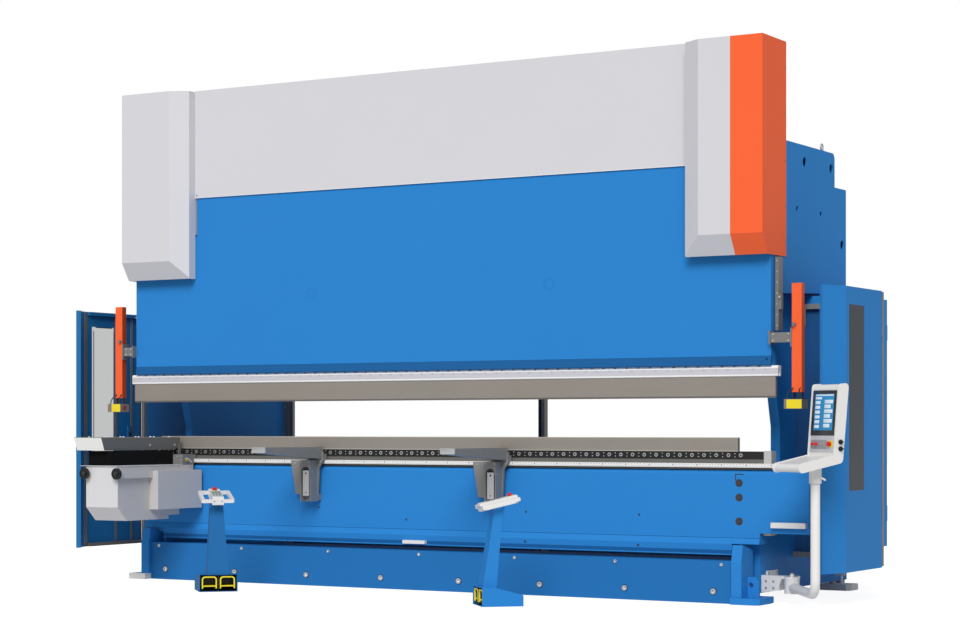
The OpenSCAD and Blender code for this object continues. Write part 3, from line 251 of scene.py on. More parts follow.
class Shape:
    """One piece, built from blocks, turned parts, outlines and bars given in millimetres."""

    def __init__(self, place=None):
        self.mesh = bmesh.new()
        self.place = place or Matrix.Translation(datum)

    def block(self, low, high, edge=1.5):
        low, high = Vector(low), Vector(high)
        size = Matrix.Diagonal((*(high - low), 1.0))
        made = bmesh.ops.create_cube(self.mesh, size=1, matrix=Matrix.Translation((low + high) / 2) @ size)
        if edge:
            edges = list({e for v in made["verts"] for e in v.link_edges})
            bmesh.ops.bevel(self.mesh, geom=edges, offset=edge, segments=2, affect="EDGES", profile=0.5)
        return self

    def prism(self, outline, low, high, axis="y"):
        """An outline in the two other axes, drawn out along this one."""
        def point(pair, depth):
            return {"x": (depth, *pair), "y": (pair[0], depth, pair[1]), "z": (*pair, depth)}[axis]
        rings = [[self.mesh.verts.new(point(pair, depth)) for pair in outline] for depth in (low, high)]
        for ring in rings:
            self.mesh.faces.new(ring)
        for i in range(len(outline)):
            j = (i + 1) % len(outline)
            self.mesh.faces.new((rings[0][i], rings[0][j], rings[1][j], rings[1][i]))
        return self

    def turned(self, profile, at, towards=(0, -1, 0), sides=20):
        """A profile of radii and heights, turned about a line through a place."""
        turn = Vector((0, 0, 1)).rotation_difference(Vector(towards)).to_matrix()
        rings = []
        for radius, height in profile:
            ring = []
            for k in range(sides if radius > 0 else 1):
                angle = 2 * math.pi * k / sides
                spoke = Vector((radius * math.cos(angle), radius * math.sin(angle), height))
                ring.append(self.mesh.verts.new(Vector(at) + turn @ spoke))
            rings.append(ring)
        for low, high in zip(rings, rings[1:]):
            for k in range(sides):
                j = (k + 1) % sides
                corners = [low[k % len(low)], low[j % len(low)], high[j % len(high)], high[k % len(high)]]
                self.mesh.faces.new(list(dict.fromkeys(corners)))
        return self

    def screw(self, at, radius, towards=(0, -1, 0), high=3.0, sides=16):
        """A round head with a rounded rim and a sunk drive."""
        head = [(radius, -0.5), (radius, high * 0.7), (radius * 0.85, high), (radius * 0.45, high)]
        drive = [(radius * 0.4, high * 0.4), (0, high * 0.4)]
        return self.turned(head + drive, at, towards, sides)

    def bar(self, path, radius, sides=10):
        """A round bar bent along a line of places."""
        path = [Vector(p) for p in path]
        rings = []
        for k, here in enumerate(path):
            along = (path[min(k + 1, len(path) - 1)] - path[max(k - 1, 0)]).normalized()
            turn = Vector((0, 0, 1)).rotation_difference(along).to_matrix()
            ring = []
            for i in range(sides):
                angle = 2 * math.pi * i / sides
                spoke = Vector((radius * math.cos(angle), radius * math.sin(angle), 0))
                ring.append(self.mesh.verts.new(here + turn @ spoke))
            rings.append(ring)
        for low, high in zip(rings, rings[1:]):
            for i in range(sides):
                j = (i + 1) % sides
                self.mesh.faces.new((low[i], low[j], high[j], high[i]))
        self.mesh.faces.new(rings[0])
        self.mesh.faces.new(rings[-1])
        return self

    def make(self, name, material, body, slot):
        bmesh.ops.recalc_face_normals(self.mesh, faces=self.mesh.faces)
        made = bpy.data.meshes.new(name)
        self.mesh.to_mesh(made)
        self.mesh.free()
        made.transform(self.place @ Matrix.Scale(0.001, 4))
        made.polygons.foreach_set("use_smooth", [True] * len(made.polygons))
        made.set_sharp_from_angle(angle=math.radians(35))
        made.materials.append(material)
        piece = bpy.data.objects.new(name, made)
        bpy.context.scene.collection.objects.link(piece)
        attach(piece, body)
        return piece


KEY_Z = 1757
keys = Shape()
for k in range(-29, 30):
    keys.block((k * PITCH - 9, -3, KEY_Z), (k * PITCH + 9, 1, KEY_Z + 5), 0.8)
keys.make("clamp_keys", dark_plastic, "beam", "ground_steel")

# ---- Punch, die and crowning table ---------------------------------------------------
# The tools are of planed and ground tool steel, with the tool marks running along them.
# The die has a painted highlight along its foot, where it sits in the holder, and is
# lighter along its top.
DIE_FOOT, DIE_TOP = 1120, 1233


def die_marks(x, y, z):
    foot, top = (0.50, 0.47, 0.43), (0.42, 0.38, 0.33)
    return [(z.within(DIE_FOOT, DIE_FOOT + 12), foot, 0.4), (z.within(DIE_TOP - 7, DIE_TOP), top, 0.4)]


tool_steel_and_highlight = finish("ground_steel", (0.32, 0.288, 0.252), 0.5, metal=0.3, patches=0.1, grain=2,
                    stretch=(0.02, 1, 1), spread=0.2, marks=die_marks)
coat(tool_steel_and_highlight, "die", "punch")
coat(finish("table_steel", (0.155, 0.15, 0.14), 0.5, metal=0.2, patches=0.12, grain=2), "crowning_table")

# ---- Die holder ----------------------------------------------------------------------
# A blackened steel bar. Its screws show as dark sockets in raised rims, with a pair of
# dowels between every two of them.
coat(finish("black_steel", (0.022, 0.021, 0.02), 0.45, metal=0.3, patches=0.2), "die_holder")
SCREW_Z = 1099
sockets = Shape()
for k in range(-28, 28):
    sockets.turned([(8, -0.2), (8, 0.5), (5, 0.6), (4, -0.1), (0, -0.1)], (k * PITCH + PITCH / 2, 3, SCREW_Z))
sockets.make("holder_sockets", dark_plastic, "frame", "black_steel")
dowels = Shape()
for k in range(-27, 28):
    for height in (-12, 12):
        dowels.screw((k * PITCH, 10.5, SCREW_Z + height), 4.2, high=1.6, sides=10)
dowels.make("holder_dowels", screw_steel, "frame", "screw_steel")

# ---- Graduated front rail ------------------------------------------------------------
# An extruded rail in white enamel for the supports to run on, with a printed rule: a dark
# stroke every 25 mm and a longer one every 200. A clamping block of steel ends the holder.
WHITE = (0.80, 0.79, 0.77)
RULE_TOP = 1031


# Along the rail's front a grey line of painted shade draws a groove.
def rail_marks(x, y, z):
    print_grey, groove_shade = (0.14, 0.14, 0.15), (0.38, 0.38, 0.38)
    back, block = (0.09, 0.085, 0.08), (0.50, 0.50, 0.49)
    front = y < -19
    fine = (x % 25).within(0, 9) * z.within(RULE_TOP - 3, RULE_TOP)
    coarse = (x % 200).within(0, 8) * z.within(RULE_TOP - 10, RULE_TOP)
    return [((fine + coarse).within(0.5, 3) * front, print_grey, 0.5),
            (z.within(1012, 1014.5) * front, groove_shade, 0.5),
            ((z < 1007) * (y > 0), back, 0.5), ((y > 15) * (x > 2900), block, 0.4)]


coat(finish("rail_enamel_and_shade", WHITE, 0.35, lacquer=0.2, patches=0.02, marks=rail_marks), "front_rail")

# ---- Bed plate -----------------------------------------------------------------------
# The thick bed plate with its raised foot band, which is coloured a darker blue, and a thin
# line of painted shadow across its front above the band. Near the right end three dark plugs
# close its access holes under an angled slot, and a few tapped holes are left for
# accessories. The slot is drawn as a dark outline standing proud, painted shade for the recess.
BAND_BLUE = (0.010, 0.115, 0.33)
SHADOW_BLUE = (0.008, 0.085, 0.26)


def bed_marks(x, y, z):
    return [(z.within(356, 436) * y.within(-20, 20), BAND_BLUE, 0.5),
            (z.within(481, 484.5) * (y < 20), SHADOW_BLUE, 0.5)]


coat(machine_blue("bed_paint_and_shade", bed_marks), "bed")
taps = Shape()
for x, y, z in ((-1061, 0, 643), (916, 0, 644), (922, -25, 412), (1908, 0, 641), (1911, -25, 412),
                (-200, 0, 560)):
    taps.turned([(9, -1), (9, 0.6), (6, 0.8), (5, 0.2), (0, 0.2)], (x, y, z), sides=14)
# The angled slot: a thin dark outline standing proud of the plate, painted shade for the recess.
taps.prism([(2706, 913), (2713, 913), (2713, 954), (2775, 954), (2775, 961), (2706, 961)], -1.0, 0.5)
taps.make("bed_taps", dark_plastic, "frame", "black_plastic")


def fitting_marks(x, y, z):
    return [(x.within(2600, 2900), (0.035, 0.037, 0.042), 0.4)]


coat(finish("fitting_paint", WHITE, 0.4, lacquer=0.2, patches=0.03, marks=fitting_marks), "bed_fittings")
PLUG_X = 2738
plugs = Shape()
for z in (893, 785, 607):
    plugs.turned([(29, 0), (29, 0.8), (26, 1.2), (24.5, 0.6)], (PLUG_X, -0.2, z), sides=28)
    plugs.block((PLUG_X - 14, -7.2, z - 2.5), (PLUG_X + 14, -5.8, z + 2.5), 0.5)
plugs.make("plug_rims", finish("plug_rim", (0.10, 0.105, 0.115), 0.4, metal=0.5), "frame", "black_plastic")
wing_block = Shape().block((2925, 20, 505), (2990, 90, 521), 2).block((2990, 30, 509), (3010, 80, 519), 2)
wing_block.make("wing_block", finish("brass", (0.55, 0.45, 0.30), 0.45, metal=0.6), "frame", "screw_steel")

# ---- Covers --------------------------------------------------------------------------
# Folded sheet-metal covers over the cylinders and the oil unit, in pale textured powder
# paint with a white lip, held by small screws. The right corner wears a strip in orange.
pale_paint = finish("pale_paint", (0.650, 0.645, 0.672), 0.6, patches=0.02, grain=1.2, bump=0.1, shine=0.2)
coat(pale_paint, "top_cover", "corner_covers")


def safety_orange(name, marks=None):
    return finish(name, (0.95, 0.132, 0.034), 0.45, lacquer=0.05, patches=0.03, grain=2, shine=0.25,
                  marks=marks)


coat(safety_orange("orange_paint"), "corner_trim")
LIP_HALF = 2338
lip = Shape().block((-LIP_HALF, -19.6, 3277.2), (LIP_HALF, -17, 3282), 0.6)
lip.block((-LIP_HALF, -18, 3284), (6 - LIP_HALF, 0, 4180), 0.5)
lip.make("cover_lip", finish("lip_white", (0.86, 0.86, 0.86), 0.4), "frame", "pale_paint")
CORNER_X = 3009
cover_screws = Shape()
for side in (-1, 1):
    for z in (2700, 2950, 3300, 3650, 4000):
        cover_screws.screw((side * CORNER_X, 232, z), 7, (side, 0, 0), 1.5)
    cover_screws.screw((side * (LIP_HALF - 13), -19, 3300), 7, high=0.8)
cover_screws.screw((CORNER_X, -90, 2720), 6, (1, 0, 0), 1.0)
screw_grey = finish("screw_grey", (0.20, 0.20, 0.21), 0.4, metal=0.6)
cover_screws.make("cover_screws", screw_grey, "frame", "pale_paint")

# ---- Cylinders and oil unit ----------------------------------------------------------
# Two barrels and the oil unit, in dark machine paint. The unit's tank has a filler cap and
# a level glass, its valve block the plugs of two solenoids, and its motor cooling fins.
coat(finish("dark_paint", (0.045, 0.05, 0.06), 0.45, spread=0.15), "cylinders", "power_unit")
coat(finish("rod_chrome", (0.75, 0.75, 0.77), 0.12, metal=1.0, patches=0.02, spread=0.05), "piston_rods")
unit = Shape()
unit.turned([(40, -1), (40, 22), (32, 34), (12, 36), (10, 52), (0, 54)], (-560, 480, 3363), (0, 0, 1), 28)
for x in (-230, -120):
    unit.block((x, 450, 3483), (x + 60, 520, 3530), 4).block((x + 12, 462, 3530), (x + 48, 508, 3552), 4)
for x in range(420, 750, 55):
    unit.block((x, 420, 3171), (x + 8, 680, 3195), 1.5)
unit.make("unit_fittings", dark_plastic, "frame", "black_plastic")
glass = Shape().block((-640, 777, 2960), (-600, 785, 3180), 3)
for z in (2950, 3190):
    glass.screw((-620, 785, z), 8, (0, 1, 0))
glass.make("level_glass", finish("oil_glass", (0.60, 0.42, 0.10), 0.15, lacquer=0.6), "frame", "yellow_paint")

# ---- Beam guides ---------------------------------------------------------------------
# Beside each end of the beam stands a ground guide rail. A row of screws holds it from the
# front, and the round head of a limit switch stands outside it.
rail_steel = finish("rail_steel", (0.30, 0.28, 0.25), 0.42, metal=0.5, patches=0.12, grain=2,
                    stretch=(1, 1, 0.02), spread=0.2)
coat(rail_steel, "ram_guides")
RAIL_X = 3019
guide_screws = Shape()
for side in (-1, 1):
    for z in range(2060, 2560, 80):
        guide_screws.screw((side * RAIL_X, 50, z), 6, high=1.2, sides=12)
    guide_screws.turned([(9, 0), (9, 8), (5, 9), (0, 9)], (side * (RAIL_X + 23), 50, 2270), sides=18)
guide_screws.make("guide_screws", screw_steel, "frame", "screw_steel")

# ---- Laser guarding arms -------------------------------------------------------------
# On each end of the beam an orange tube carries a laser head level with the punch tip.
# The head hangs from a yoke of two bent black bars, and its front is yellow.


# The left tube's right-facing side carries a narrow strip of painted shade.
def arm_marks(x, y, z):
    shaded, steel_grey = (0.42, 0.055, 0.014), (0.19, 0.18, 0.165)
    return [(x.within(-3119, -3112), shaded, 0.5), ((y > -1.5) + (y < -54.5), steel_grey, 0.4)]


coat(safety_orange("arm_paint_and_shade", arm_marks), "laser_arm_left", "laser_arm_right")


def head_marks(x, y, z):
    cap, yellow = (0.05, 0.05, 0.055), (0.86, 0.68, 0.02)
    heads = x.within(3164, 3290) + x.within(-3192, -3090)
    return [(z > 1513.2, cap, 0.4), (heads * (y < -109) * z.within(1445, 1511), yellow, 0.4)]


coat(finish("head_paint", (0.24, 0.225, 0.20), 0.5, metal=0.2, marks=head_marks), "laser_head_left",
     "laser_head_right")
coat(finish("bracket_grey", (0.23, 0.23, 0.225), 0.45, metal=0.3, spread=0.15), "laser_brackets")
TUBE_X = {"left": 3117, "right": 3182}
HEAD_X = {"left": 3095, "right": 3143}
for hand, side in (("left", -1), ("right", 1)):
    tube, head = TUBE_X[hand], HEAD_X[hand]
    yoke = Shape()
    for at_head, at_tube in ((head + 20, tube + 10), (head + 112, tube + 66)):
        bend = at_head * 0.5 + at_tube * 0.5
        yoke.bar([(side * at_head, -104, 1510), (side * at_head, -100, 1540), (side * bend, -84, 1572),
                  (side * at_tube, -62, 1590), (side * at_tube, -53, 1596)], 4.5)
    yoke.turned([(13, 0), (13, 14), (9, 20), (0, 20)], (side * (tube + 20), -54, 2060), sides=18)
    yoke.make("laser_yoke_" + hand, dark_plastic, "laser_" + hand, "black_plastic")
    lens_glass = finish("lens_" + hand, (0.30, 0.01, 0.02), 0.1, lacquer=0.8)
    lens = Shape()
    lens.turned([(19, 0), (19, 3), (15, 4), (13, 2), (0, 2)], (side * head, -52, 1478), (-side, 0, 0), 28)
    lens.make("laser_lens_" + hand, lens_glass, "laser_" + hand, "red_plastic")
brackets = Shape()
for hand, side in (("left", -1), ("right", 1)):
    for z in (1945, 1993):
        for x in (3030, TUBE_X[hand] - 30):
            brackets.screw((side * x, -46, z), 8, high=4)
brackets.make("bracket_screws", screw_steel, "beam", "screw_steel")

# ---- Sheet follower ------------------------------------------------------------------
# A tray that lifts the sheet while it bends, on a carriage in light sheet metal. A black
# bellows hides its lifting screw, its pleats drawn as stripes of painted highlight, and two
# black handwheels face the operator. The carriage's right side, below its top block, is
# coloured darker as painted shade.


def body_marks(x, y, z):
    fold, ridge_highlight = (0.002, 0.002, 0.002), (0.008, 0.008, 0.008)
    block, carrier, side_shade = (0.20, 0.20, 0.195), (0.15, 0.152, 0.145), (0.54, 0.525, 0.52)
    bellows = (z > 991.5) * (y < -181) * (x < -2452)
    return [(bellows, fold, 0.8), (bellows * (y % 26).within(0, 8), ridge_highlight, 0.8),
            ((z > 987.5) * (y > -180.5), block, 0.4), ((z > 1077.5) * (y > -180.5), carrier, 0.4),
            ((x > -2352.5) * (z < 983), side_shade, 0.55)]


coat(finish("follower_paint_shade_and_highlight", (0.66, 0.65, 0.655), 0.55, patches=0.03, shine=0.15, marks=body_marks),
     "follower_body")


def tray_marks(x, y, z):
    top, nose, rollers = (0.30, 0.285, 0.26), (0.86, 0.86, 0.82), (0.75, 0.75, 0.74)
    return [((z > 1222) + (x > -2462), top, 0.4), ((y < (1225 - z) * 0.37 - 1096) * (z < 1221), nose, 0.35),
            (z > 1226.2, rollers, 0.25)]


coat(finish("tray_paint", (0.15, 0.152, 0.145), 0.45, metal=0.2, marks=tray_marks), "follower_tray")
black_plastic = finish("black_plastic", (0.016, 0.016, 0.018), 0.5, spread=0.15)
coat(black_plastic, "follower_wheel_left", "follower_wheel_right")
WHEEL_Y, WHEEL_Z = -1078, 926
for side, x in (("left", -2674), ("right", -2333)):
    hub = Shape().turned([(18, 0), (18, 5), (13, 8), (5, 8), (4, 6), (0, 6)], (x, WHEEL_Y, WHEEL_Z), sides=24)
    for angle in (30, 150, 270):
        across, up = math.cos(math.radians(angle)), math.sin(math.radians(angle))
        root = (x + 14 * across, WHEEL_Y, WHEEL_Z + 14 * up)
        tip = (x + 33 * across, WHEEL_Y + 2, WHEEL_Z + 33 * up)
        hub.bar([root, tip], 3.5, 8)
    hub.make("wheel_hub_" + side, dark_plastic, "wheel_" + side, "black_plastic")
case_screws = Shape()
for x, z in ((-2370, 1060), (-2410, 1060), (-2440, 1045), (-2370, 1030)):
    case_screws.screw((x, -180, z), 6, high=3, sides=12)
for y in (-600, -420, -240, -60):
    for z in (930, 640):
        case_screws.screw((-2259, y, z), 5, (1, 0, 0), 2)
case_screws.bar([(-2350, -150, 1040), (-2330, -150, 1046), (-2310, -140, 1030), (-2300, -120, 1012)], 6)
case_screws.make("follower_screws", screw_steel, "follower", "screw_steel")
ring = Shape().turned([(9, 0), (13, 0), (13, 9), (9, 9)], (-2342, -140, 1030), (1, 0, 0), 20)
ring.make("hose_ring", finish("ring_yellow", (0.80, 0.58, 0.03), 0.4), "follower", "yellow_paint")
rivets = Shape()
for y in (-466, -135):
    rivets.screw((-2473, y, 1158), 11, (1, 0, 0), 3)
rivets.make("tray_rivets", screw_steel, "tray", "screw_steel")

# ---- Front supports ------------------------------------------------------------------
# Cast and milled aluminium brackets that run on the rail, each with a long arm under the
# sheet and a lever in an arched pocket. Screws hold the back plate and the arm's end cap.


def support_marks(x, y, z):
    cap, top = (0.44, 0.46, 0.44), (0.33, 0.31, 0.28)
    return [((y < -842) * (z > 1101), cap, 0.4), ((z > 1146) * (y > -842), top, 0.4)]


support_alloy = finish("support_aluminium", (0.25, 0.25, 0.24), 0.45, metal=0.15, patches=0.1, spread=0.15,
                       marks=support_marks)
coat(support_alloy, "support_left", "support_right")
coat(screw_steel, "support_lever_left", "support_lever_right")
for side, x in (("left", -1057), ("right", 712)):
    bolts = Shape()
    for dx, z in ((-205, 1010), (-110, 1010), (52, 1020)):
        bolts.screw((x + dx, -60, z), 6, high=3, sides=14)
    bolts.screw((x - 70, -160, 1022), 5, high=2).screw((x + 10, -160, 1022), 5, high=2)
    bolts.block((x - 62, -852, 1104), (x + 62, -848.5, 1144), 1)
    bolts.make("support_screws_" + side, screw_steel, "support_" + side, "screw_steel")
    lever_x = x - 30
    grip = Shape().turned([(7, 0), (7, 3), (4, 5), (0, 5)], (lever_x, -152, 928), sides=16)
    grip.turned([(5, 0), (5, 2), (0, 2)], (lever_x, -152, 770), sides=16)
    grip.make("lever_grip_" + side, dark_plastic, "lever_" + side, "black_plastic")

# ---- Console arm ---------------------------------------------------------------------
# A bent steel tube in white paint that swings about a pin low on the right side plate,
# with the bolts of its bracket and a clamping lever at the swivel.
white_paint = finish("white_paint", WHITE, 0.4, lacquer=0.15, patches=0.03, shine=0.35)
coat(white_paint, "console_bracket", "console_arm")
HUB = Vector((3115, 110, 0))
arm_bolts = Shape()
for z in (90, 212):
    for y in (250, 410):
        arm_bolts.screw((2867, y, z), 11, (1, 0, 0), 7)
for x in (2890, 2950):
    for z in (160, 110):
        arm_bolts.screw((x, 150, z), 9, high=5)
arm_bolts.turned([(13, 0), (13, 8), (9, 10), (0, 10)], (HUB.x, HUB.y, 220), (0, 0, 1), 18)
bolt_grey = finish("bolt_grey", (0.42, 0.41, 0.40), 0.45, metal=0.3)
arm_bolts.make("bracket_bolts", bolt_grey, "frame", "screw_steel")

# ---- Console housing -----------------------------------------------------------------
# A moulded white housing with a sloping shelf. A dark glass bezel holds the screen, and
# under it sits a dark plate with the two push buttons and the stop button's yellow ring.
REACH = 790
arm_turn = math.radians(-55.4)
housing_turn = math.radians(-29.3)
lean = math.atan2(41, 468)
pole = HUB + REACH * Vector((math.cos(arm_turn), math.sin(arm_turn), 0))
console = Matrix.Translation(spot(*pole)) @ Matrix.Rotation(housing_turn, 4, "Z")
face = console @ Matrix.Translation(Vector((0, 53.5, 1120)) / 1000)
face = face @ Matrix.Rotation(math.pi / 2 - lean, 4, "X")
coat(white_paint, "console_housing")
coat(black_plastic, "key_switch_upper", "key_switch_lower")
panel = Shape(face).block((-135.5, 8, -1), (135.5, 456, 1), 0.6)
panel.make("console_panel", finish("panel_grey", (0.56, 0.56, 0.60), 0.4), "console", "white_paint")
plate = Shape(face).block((-120, 35, 0), (50, 98, 2.5), 1.5)
plate.make("button_plate", finish("plate_grey", (0.28, 0.28, 0.30), 0.45), "console", "black_plastic")
bezel = Shape(face).block((-134, 129, 0), (134, 449, 3.5), 2)
bezel.make("console_bezel", finish("bezel_glass", (0.022, 0.023, 0.026), 0.2, lacquer=0.5), "console",
           "black_plastic")
screen = Shape(face).block((-104, 166, 3), (104, 424, 4.2), 0.5)
screen.make("console_screen", finish("screen_blue", (0.02, 0.27, 0.56), 0.35, lacquer=0.2), "console",
            "blue_paint")
fields = Shape(face)
fields.block((-98, 410, 4), (98, 420, 4.8), 0.3).block((-98, 386, 4), (-30, 402, 4.8), 0.3)
for k in range(6):
    drop = k * 34
    fields.block((-96, 352 - drop, 4), (-44, 374 - drop, 4.8), 0.3)
    fields.block((4, 356 - drop, 4), (96 - 24 * (k % 2), 382 - drop, 4.8), 0.3)
fields.make("screen_keys", finish("screen_white", (0.72, 0.84, 0.92), 0.35), "console", "white_paint")
BUTTONS_UP = 69
outward = (0, 0, 1)
rims = Shape(face)
for x in (-92, -50):
    rims.turned([(9, 2), (15, 2), (15, 3.2), (11, 3.8), (9, 3.2)], (x, BUTTONS_UP, 0), outward, 20)
for x in (-10, 22):
    rims.turned([(4, 2), (7, 2), (7, 7), (0, 8)], (x, BUTTONS_UP, 0), outward, 16)
rims.make("button_rims", screw_steel, "console", "screw_steel")
stop_ring = Shape(face)
stop_ring.turned([(14, 0), (27, 0), (27, 4), (24, 5), (14, 5)], (95, BUTTONS_UP, 0), outward, 28)
yellow_plastic = finish("yellow_plastic", (0.86, 0.62, 0.02), 0.4)
stop_ring.make("stop_ring", yellow_plastic, "console", "yellow_paint")
red_plastic = finish("red_plastic", (0.70, 0.012, 0.01), 0.3, lacquer=0.4)
coat(red_plastic, "console_button_left", "console_button_right", "console_stop")

# ---- Foot pedestals ------------------------------------------------------------------
# Two free-standing stands of folded sheet in the machine's blue, the left one coloured
# darker. Each has two yellow pedals under a hood, black inside, and a tilted white hand
# control with a key pad.
LEFT_BLUE = (0.015, 0.138, 0.365)


def stand_marks(x, y, z):
    return [(x < 0, LEFT_BLUE, 0.5)]


coat(machine_blue("stand_paint", stand_marks), "pedestal_stands")
coat(finish("yellow_paint", (0.86, 0.70, 0.03), 0.4, spread=0.15), "pedal_left_a", "pedal_left_b",
     "pedal_right_a", "pedal_right_b")
coat(white_paint, "control_housings")
coat(red_plastic, "stop_left", "stop_right")
for side, at, turn in (("left", (-1398, -958, 0), 45), ("right", (1295, -1086, 0), -46)):
    stand = Matrix.Translation(spot(*at)) @ Matrix.Rotation(math.radians(turn), 4, "Z")
    inside = Shape(stand).block((-146, -66, 56), (146, -60, 126), 1)
    inside.block((-146, -152, 5.1), (146, -70, 5.7), 0.2).block((-3, -150, 5.7), (3, -66, 128), 1)
    inside.make("pedestal_lining_" + side, black_plastic, "frame", "black_plastic")
    top = stand @ Matrix.Translation(Vector((0, -1, 751)) / 1000) @ Matrix.Rotation(math.radians(13), 4, "X")
    pad = Shape(top).block((-40, -100, 29.5), (40, 66, 31.5), 1)
    pad_grey = finish("pad_grey_" + side, (0.42, 0.47, 0.44), 0.5)
    pad.make("control_pad_" + side, pad_grey, "frame", "white_plastic")
    caps = Shape(top)
    for row in range(3):
        for column in (-1, 0, 1):
            caps.turned([(8, 0), (8, 3), (6, 4), (0, 4)], (column * 24, -70 + row * 40, 31.2), outward, 16)
    caps.screw((-30, -146, 0), 5).screw((30, -146, 0), 5)
    key_grey = finish("key_grey_" + side, (0.16, 0.18, 0.19), 0.45)
    caps.make("control_keys_" + side, key_grey, "frame", "black_plastic")
    collar = Shape(top).turned([(19.8, -0.2), (27, -0.2), (27, 0.6), (19.8, 0.8)], (0, 100, 30), outward, 28)
    collar.make("control_ring_" + side, yellow_plastic, "frame", "yellow_paint")

# ---- Side guards ---------------------------------------------------------------------
# Folded blue sheet with a tall pane of grey-tinted polycarbonate let in, its rim sealed in
# rubber. Steel strips stiffen it from inside and a brown-grey angle its foot, and a rubber
# seal runs between its hinges.


def guard_marks(x, y, z):
    tinted, angle_brown = (0.075, 0.085, 0.10), (0.16, 0.15, 0.135)
    pane = y.within(74, 375) * z.within(844, 2205)
    far = abs(x)
    return [(pane * (far > 3560), tinted, 0.25), ((far < 3572.5) * (z < 330) * (y > 0), angle_brown, 0.5)]


# The left guard, seen from inside, has a darker blue than the right one: painted shade.
left_guard_shaded_paint = finish("guard_paint_left_shaded", (0.014, 0.158, 0.39), 0.45, grain=4, marks=guard_marks, shine=0.25,
                    clear=0.72)
coat(left_guard_shaded_paint, "guard_left")
right_paint = finish("guard_paint_right", BLUE, 0.5, grain=4, marks=guard_marks, shine=0.12, clear=0.08)
coat(right_paint, "guard_right")
PANE_FOOT, PANE_HEAD = 850, 2199
SHEET_FOOT, SHEET_HEAD = 254, 2331
for side, body in ((-1, "guard_left"), (1, "guard_right")):
    seal = Shape()
    for y in (98, 371):
        seal.block((side * 3571.6, y - 4, PANE_FOOT + 30), (side * 3572.8, y + 4, PANE_HEAD - 30), 0.3)
    for z in (PANE_FOOT - 2, PANE_HEAD + 2):
        seal.block((side * 3571.6, 125, z - 4), (side * 3572.8, 345, z + 4), 0.3)
    for z in (900, 1300, 1700, 2100):
        seal.screw((side * 3572.4, 450, z), 5, (-side, 0, 0), 2, 12)
    for low, high in ((SHEET_FOOT, 467), (593, 1992), (2118, SHEET_HEAD)):
        seal.block((side * 3571.2, 738, low), (side * 3573.4, 758, high), 0.3)
    seal.make(body + "_seal", dark_plastic, body, "black_plastic")
    strips = Shape()
    for y_near, y_far in ((385, 420), (604, 636)):
        strips.block((side * 3570, y_near, 284), (side * 3573.2, y_far, 2302), 0.5)
    front_fold = [(side * 3571.5, 8), (side * 3546, -64), (side * 3543.5, -63), (side * 3569, 9)]
    strips.prism(front_fold, SHEET_FOOT, SHEET_HEAD, "z")
    strips.make(body + "_strips", rail_steel, body, "screw_steel")
    knob = Shape().turned([(16, 0), (16, 6), (11, 10), (0, 10)], (side * 3556, 580, 1250), (-side, 0, 0), 20)
    knob.make(body + "_lock", black_plastic, body, "black_plastic")

# ---- Rear fence ----------------------------------------------------------------------
# Aluminium posts stand behind the machine and carry the guards, with low blue panels
# between them. The middle post is half light curtain, so its left half is black.


def fence_marks(x, y, z):
    panel_blue, curtain_black = (0.010, 0.085, 0.245), (0.012, 0.012, 0.014)
    far = abs(x)
    screens = y.within(785.5, 789.5) * far.within(2850, 3531)
    panels = far.within(60, 2696) * z.within(161, 1101) * (y > 1920)
    return [((screens + panels).within(0.5, 3), panel_blue, 0.5),
            (x.within(-39, -7.2) * (z < 2151), curtain_black, 0.4)]


coat(finish("fence_aluminium", (0.30, 0.30, 0.29), 0.45, metal=0.35, marks=fence_marks), "rear_fence")
posts = Shape()
for side in (-1, 1):
    for z in (300, 900, 1500, 2050):
        posts.screw((side * 2773, 1906, z), 7, high=3, sides=12)
    for z in (205, 1060):
        for x in (300, 1200, 2100, 2600):
            posts.screw((side * x, 1926, z), 6, high=2, sides=12)
            posts.screw((side * x, 1929, z), 6, (0, 1, 0), 2, 12)
posts.make("fence_screws", screw_steel, "frame", "screw_steel")

# ---- Electric cabinet ----------------------------------------------------------------
# A blue steel cabinet on the right side plate. Its door has two fields of louvres and a
# lock with a black handle, and an amber lamp stands on its lid.
coat(blue_paint, "cabinet", "cabinet_door")
louvres = Shape()
for field_foot in (620, 2050):
    for k in range(8):
        z = field_foot + k * 16
        louvres.prism([(3299.8, z), (3304, z + 1), (3299.8, z + 9)], 1050, 1350)
louvres.make("door_louvres", blue_paint, "cabinet_door", "blue_paint")
latch = Shape().block((3300, 834, 1180), (3305, 868, 1230), 2)
latch.turned([(9, 0), (9, 4), (4, 5), (0, 3)], (3305, 851, 1205), (1, 0, 0), 18)
latch.make("door_lock", dark_plastic, "cabinet_door", "black_plastic")
lamp_amber = finish("lamp_amber", (0.80, 0.33, 0.02), 0.25, lacquer=0.5)
lamp = Shape()
lamp.turned([(30, 0), (30, 14), (24, 18), (24, 78), (20, 92), (0, 96)], (3050, 1200, 2317), (0, 0, 1), 28)
lamp.make("cabinet_lamp", lamp_amber, "frame", "orange_paint")

# ---- Back gauge ----------------------------------------------------------------------
# The gauge beam runs on two ground guides between the side plates. A steel spindle drives
# each end of it, in a bearing block at either end of the guide.
coat(tool_steel_and_highlight, "gauge_guides")
gauge_alloy = finish("bracket_aluminium", (0.40, 0.40, 0.38), 0.45, metal=0.5, patches=0.08, spread=0.15)
coat(gauge_alloy, "gauge_beam", "gauge_finger_left", "gauge_finger_right")
spindles = Shape()
for x in (-2457, 2457):
    spindles.bar([(x, 555, 945), (x, 1550, 945)], 9, 14)
    for y_near, y_far in ((552, 568), (1520, 1550)):
        spindles.block((x - 30, y_near, 932.2), (x + 30, y_far, 962), 3)
spindles.make("gauge_spindles", screw_steel, "frame", "screw_steel")

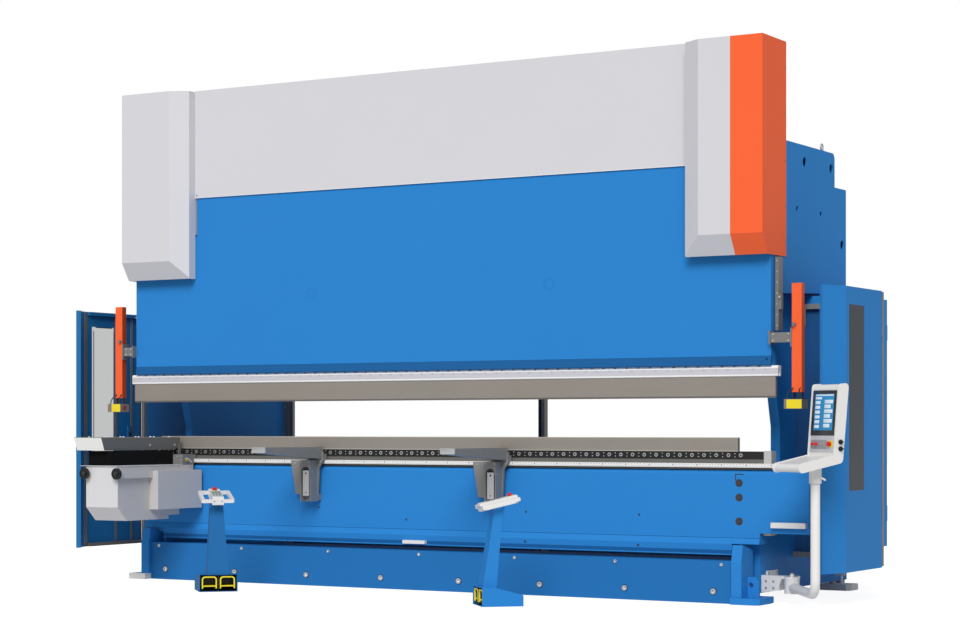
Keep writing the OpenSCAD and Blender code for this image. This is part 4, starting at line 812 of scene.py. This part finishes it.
# ---- Floor, backdrop and light -------------------------------------------------------
# A white floor that keeps the machine's shadow, a white backdrop, a soft even light all
# round and one broad lamp high on the right, in front of the machine.
FLOOR_GLOW = 1.26
SKY_LIGHT = 0.35
floor_mesh = bpy.data.meshes.new("floor")
floor_mesh.from_pydata([(-60, -60, 0), (60, -60, 0), (60, 60, 0), (-60, 60, 0)], [], [(0, 1, 2, 3)])
floor = bpy.data.objects.new("floor", floor_mesh)
bpy.context.scene.collection.objects.link(floor)
floor.location.z = -0.002


def emptied(owner):
    """The nodes of a new material or world, with those it comes with taken out."""
    owner.use_nodes = True
    for old in list(owner.node_tree.nodes):
        owner.node_tree.nodes.remove(old)
    return Tone(owner.node_tree)


floor_paint = bpy.data.materials.new("floor_paint")
start = emptied(floor_paint)
seen = start.add("ShaderNodeLightPath", out=0)
lit = start.add("ShaderNodeBsdfDiffuse", {}, {"Color": (0.82, 0.82, 0.82, 1)})
glow = start.add("ShaderNodeEmission", {}, {"Color": (1, 1, 1, 1), "Strength": FLOOR_GLOW})
both = start.add("ShaderNodeMixShader", {}, {0: seen * 0.72, 1: lit, 2: glow})
start.add("ShaderNodeOutputMaterial", {}, {"Surface": both})
floor_mesh.materials.append(floor_paint)

world = bpy.data.worlds.new("studio")
bpy.context.scene.world = world
start = emptied(world)
seen = start.add("ShaderNodeLightPath", out=0)
soft = start.add("ShaderNodeBackground", {}, {"Color": (0.97, 0.98, 1.0, 1), "Strength": SKY_LIGHT})
plain = start.add("ShaderNodeBackground", {}, {"Color": (1, 1, 1, 1), "Strength": 1.0})
both = start.add("ShaderNodeMixShader", {}, {0: seen, 1: soft, 2: plain})
start.add("ShaderNodeOutputWorld", {}, {"Surface": both})

sun = bpy.data.objects.new("softbox", bpy.data.lights.new("softbox", "SUN"))
sun.data.energy = 2.36
sun.data.angle = math.radians(30)
sun.rotation_euler = (math.radians(52), 0, math.radians(22))
bpy.context.scene.collection.objects.link(sun)

bpy.context.scene.view_settings.view_transform = "Standard"
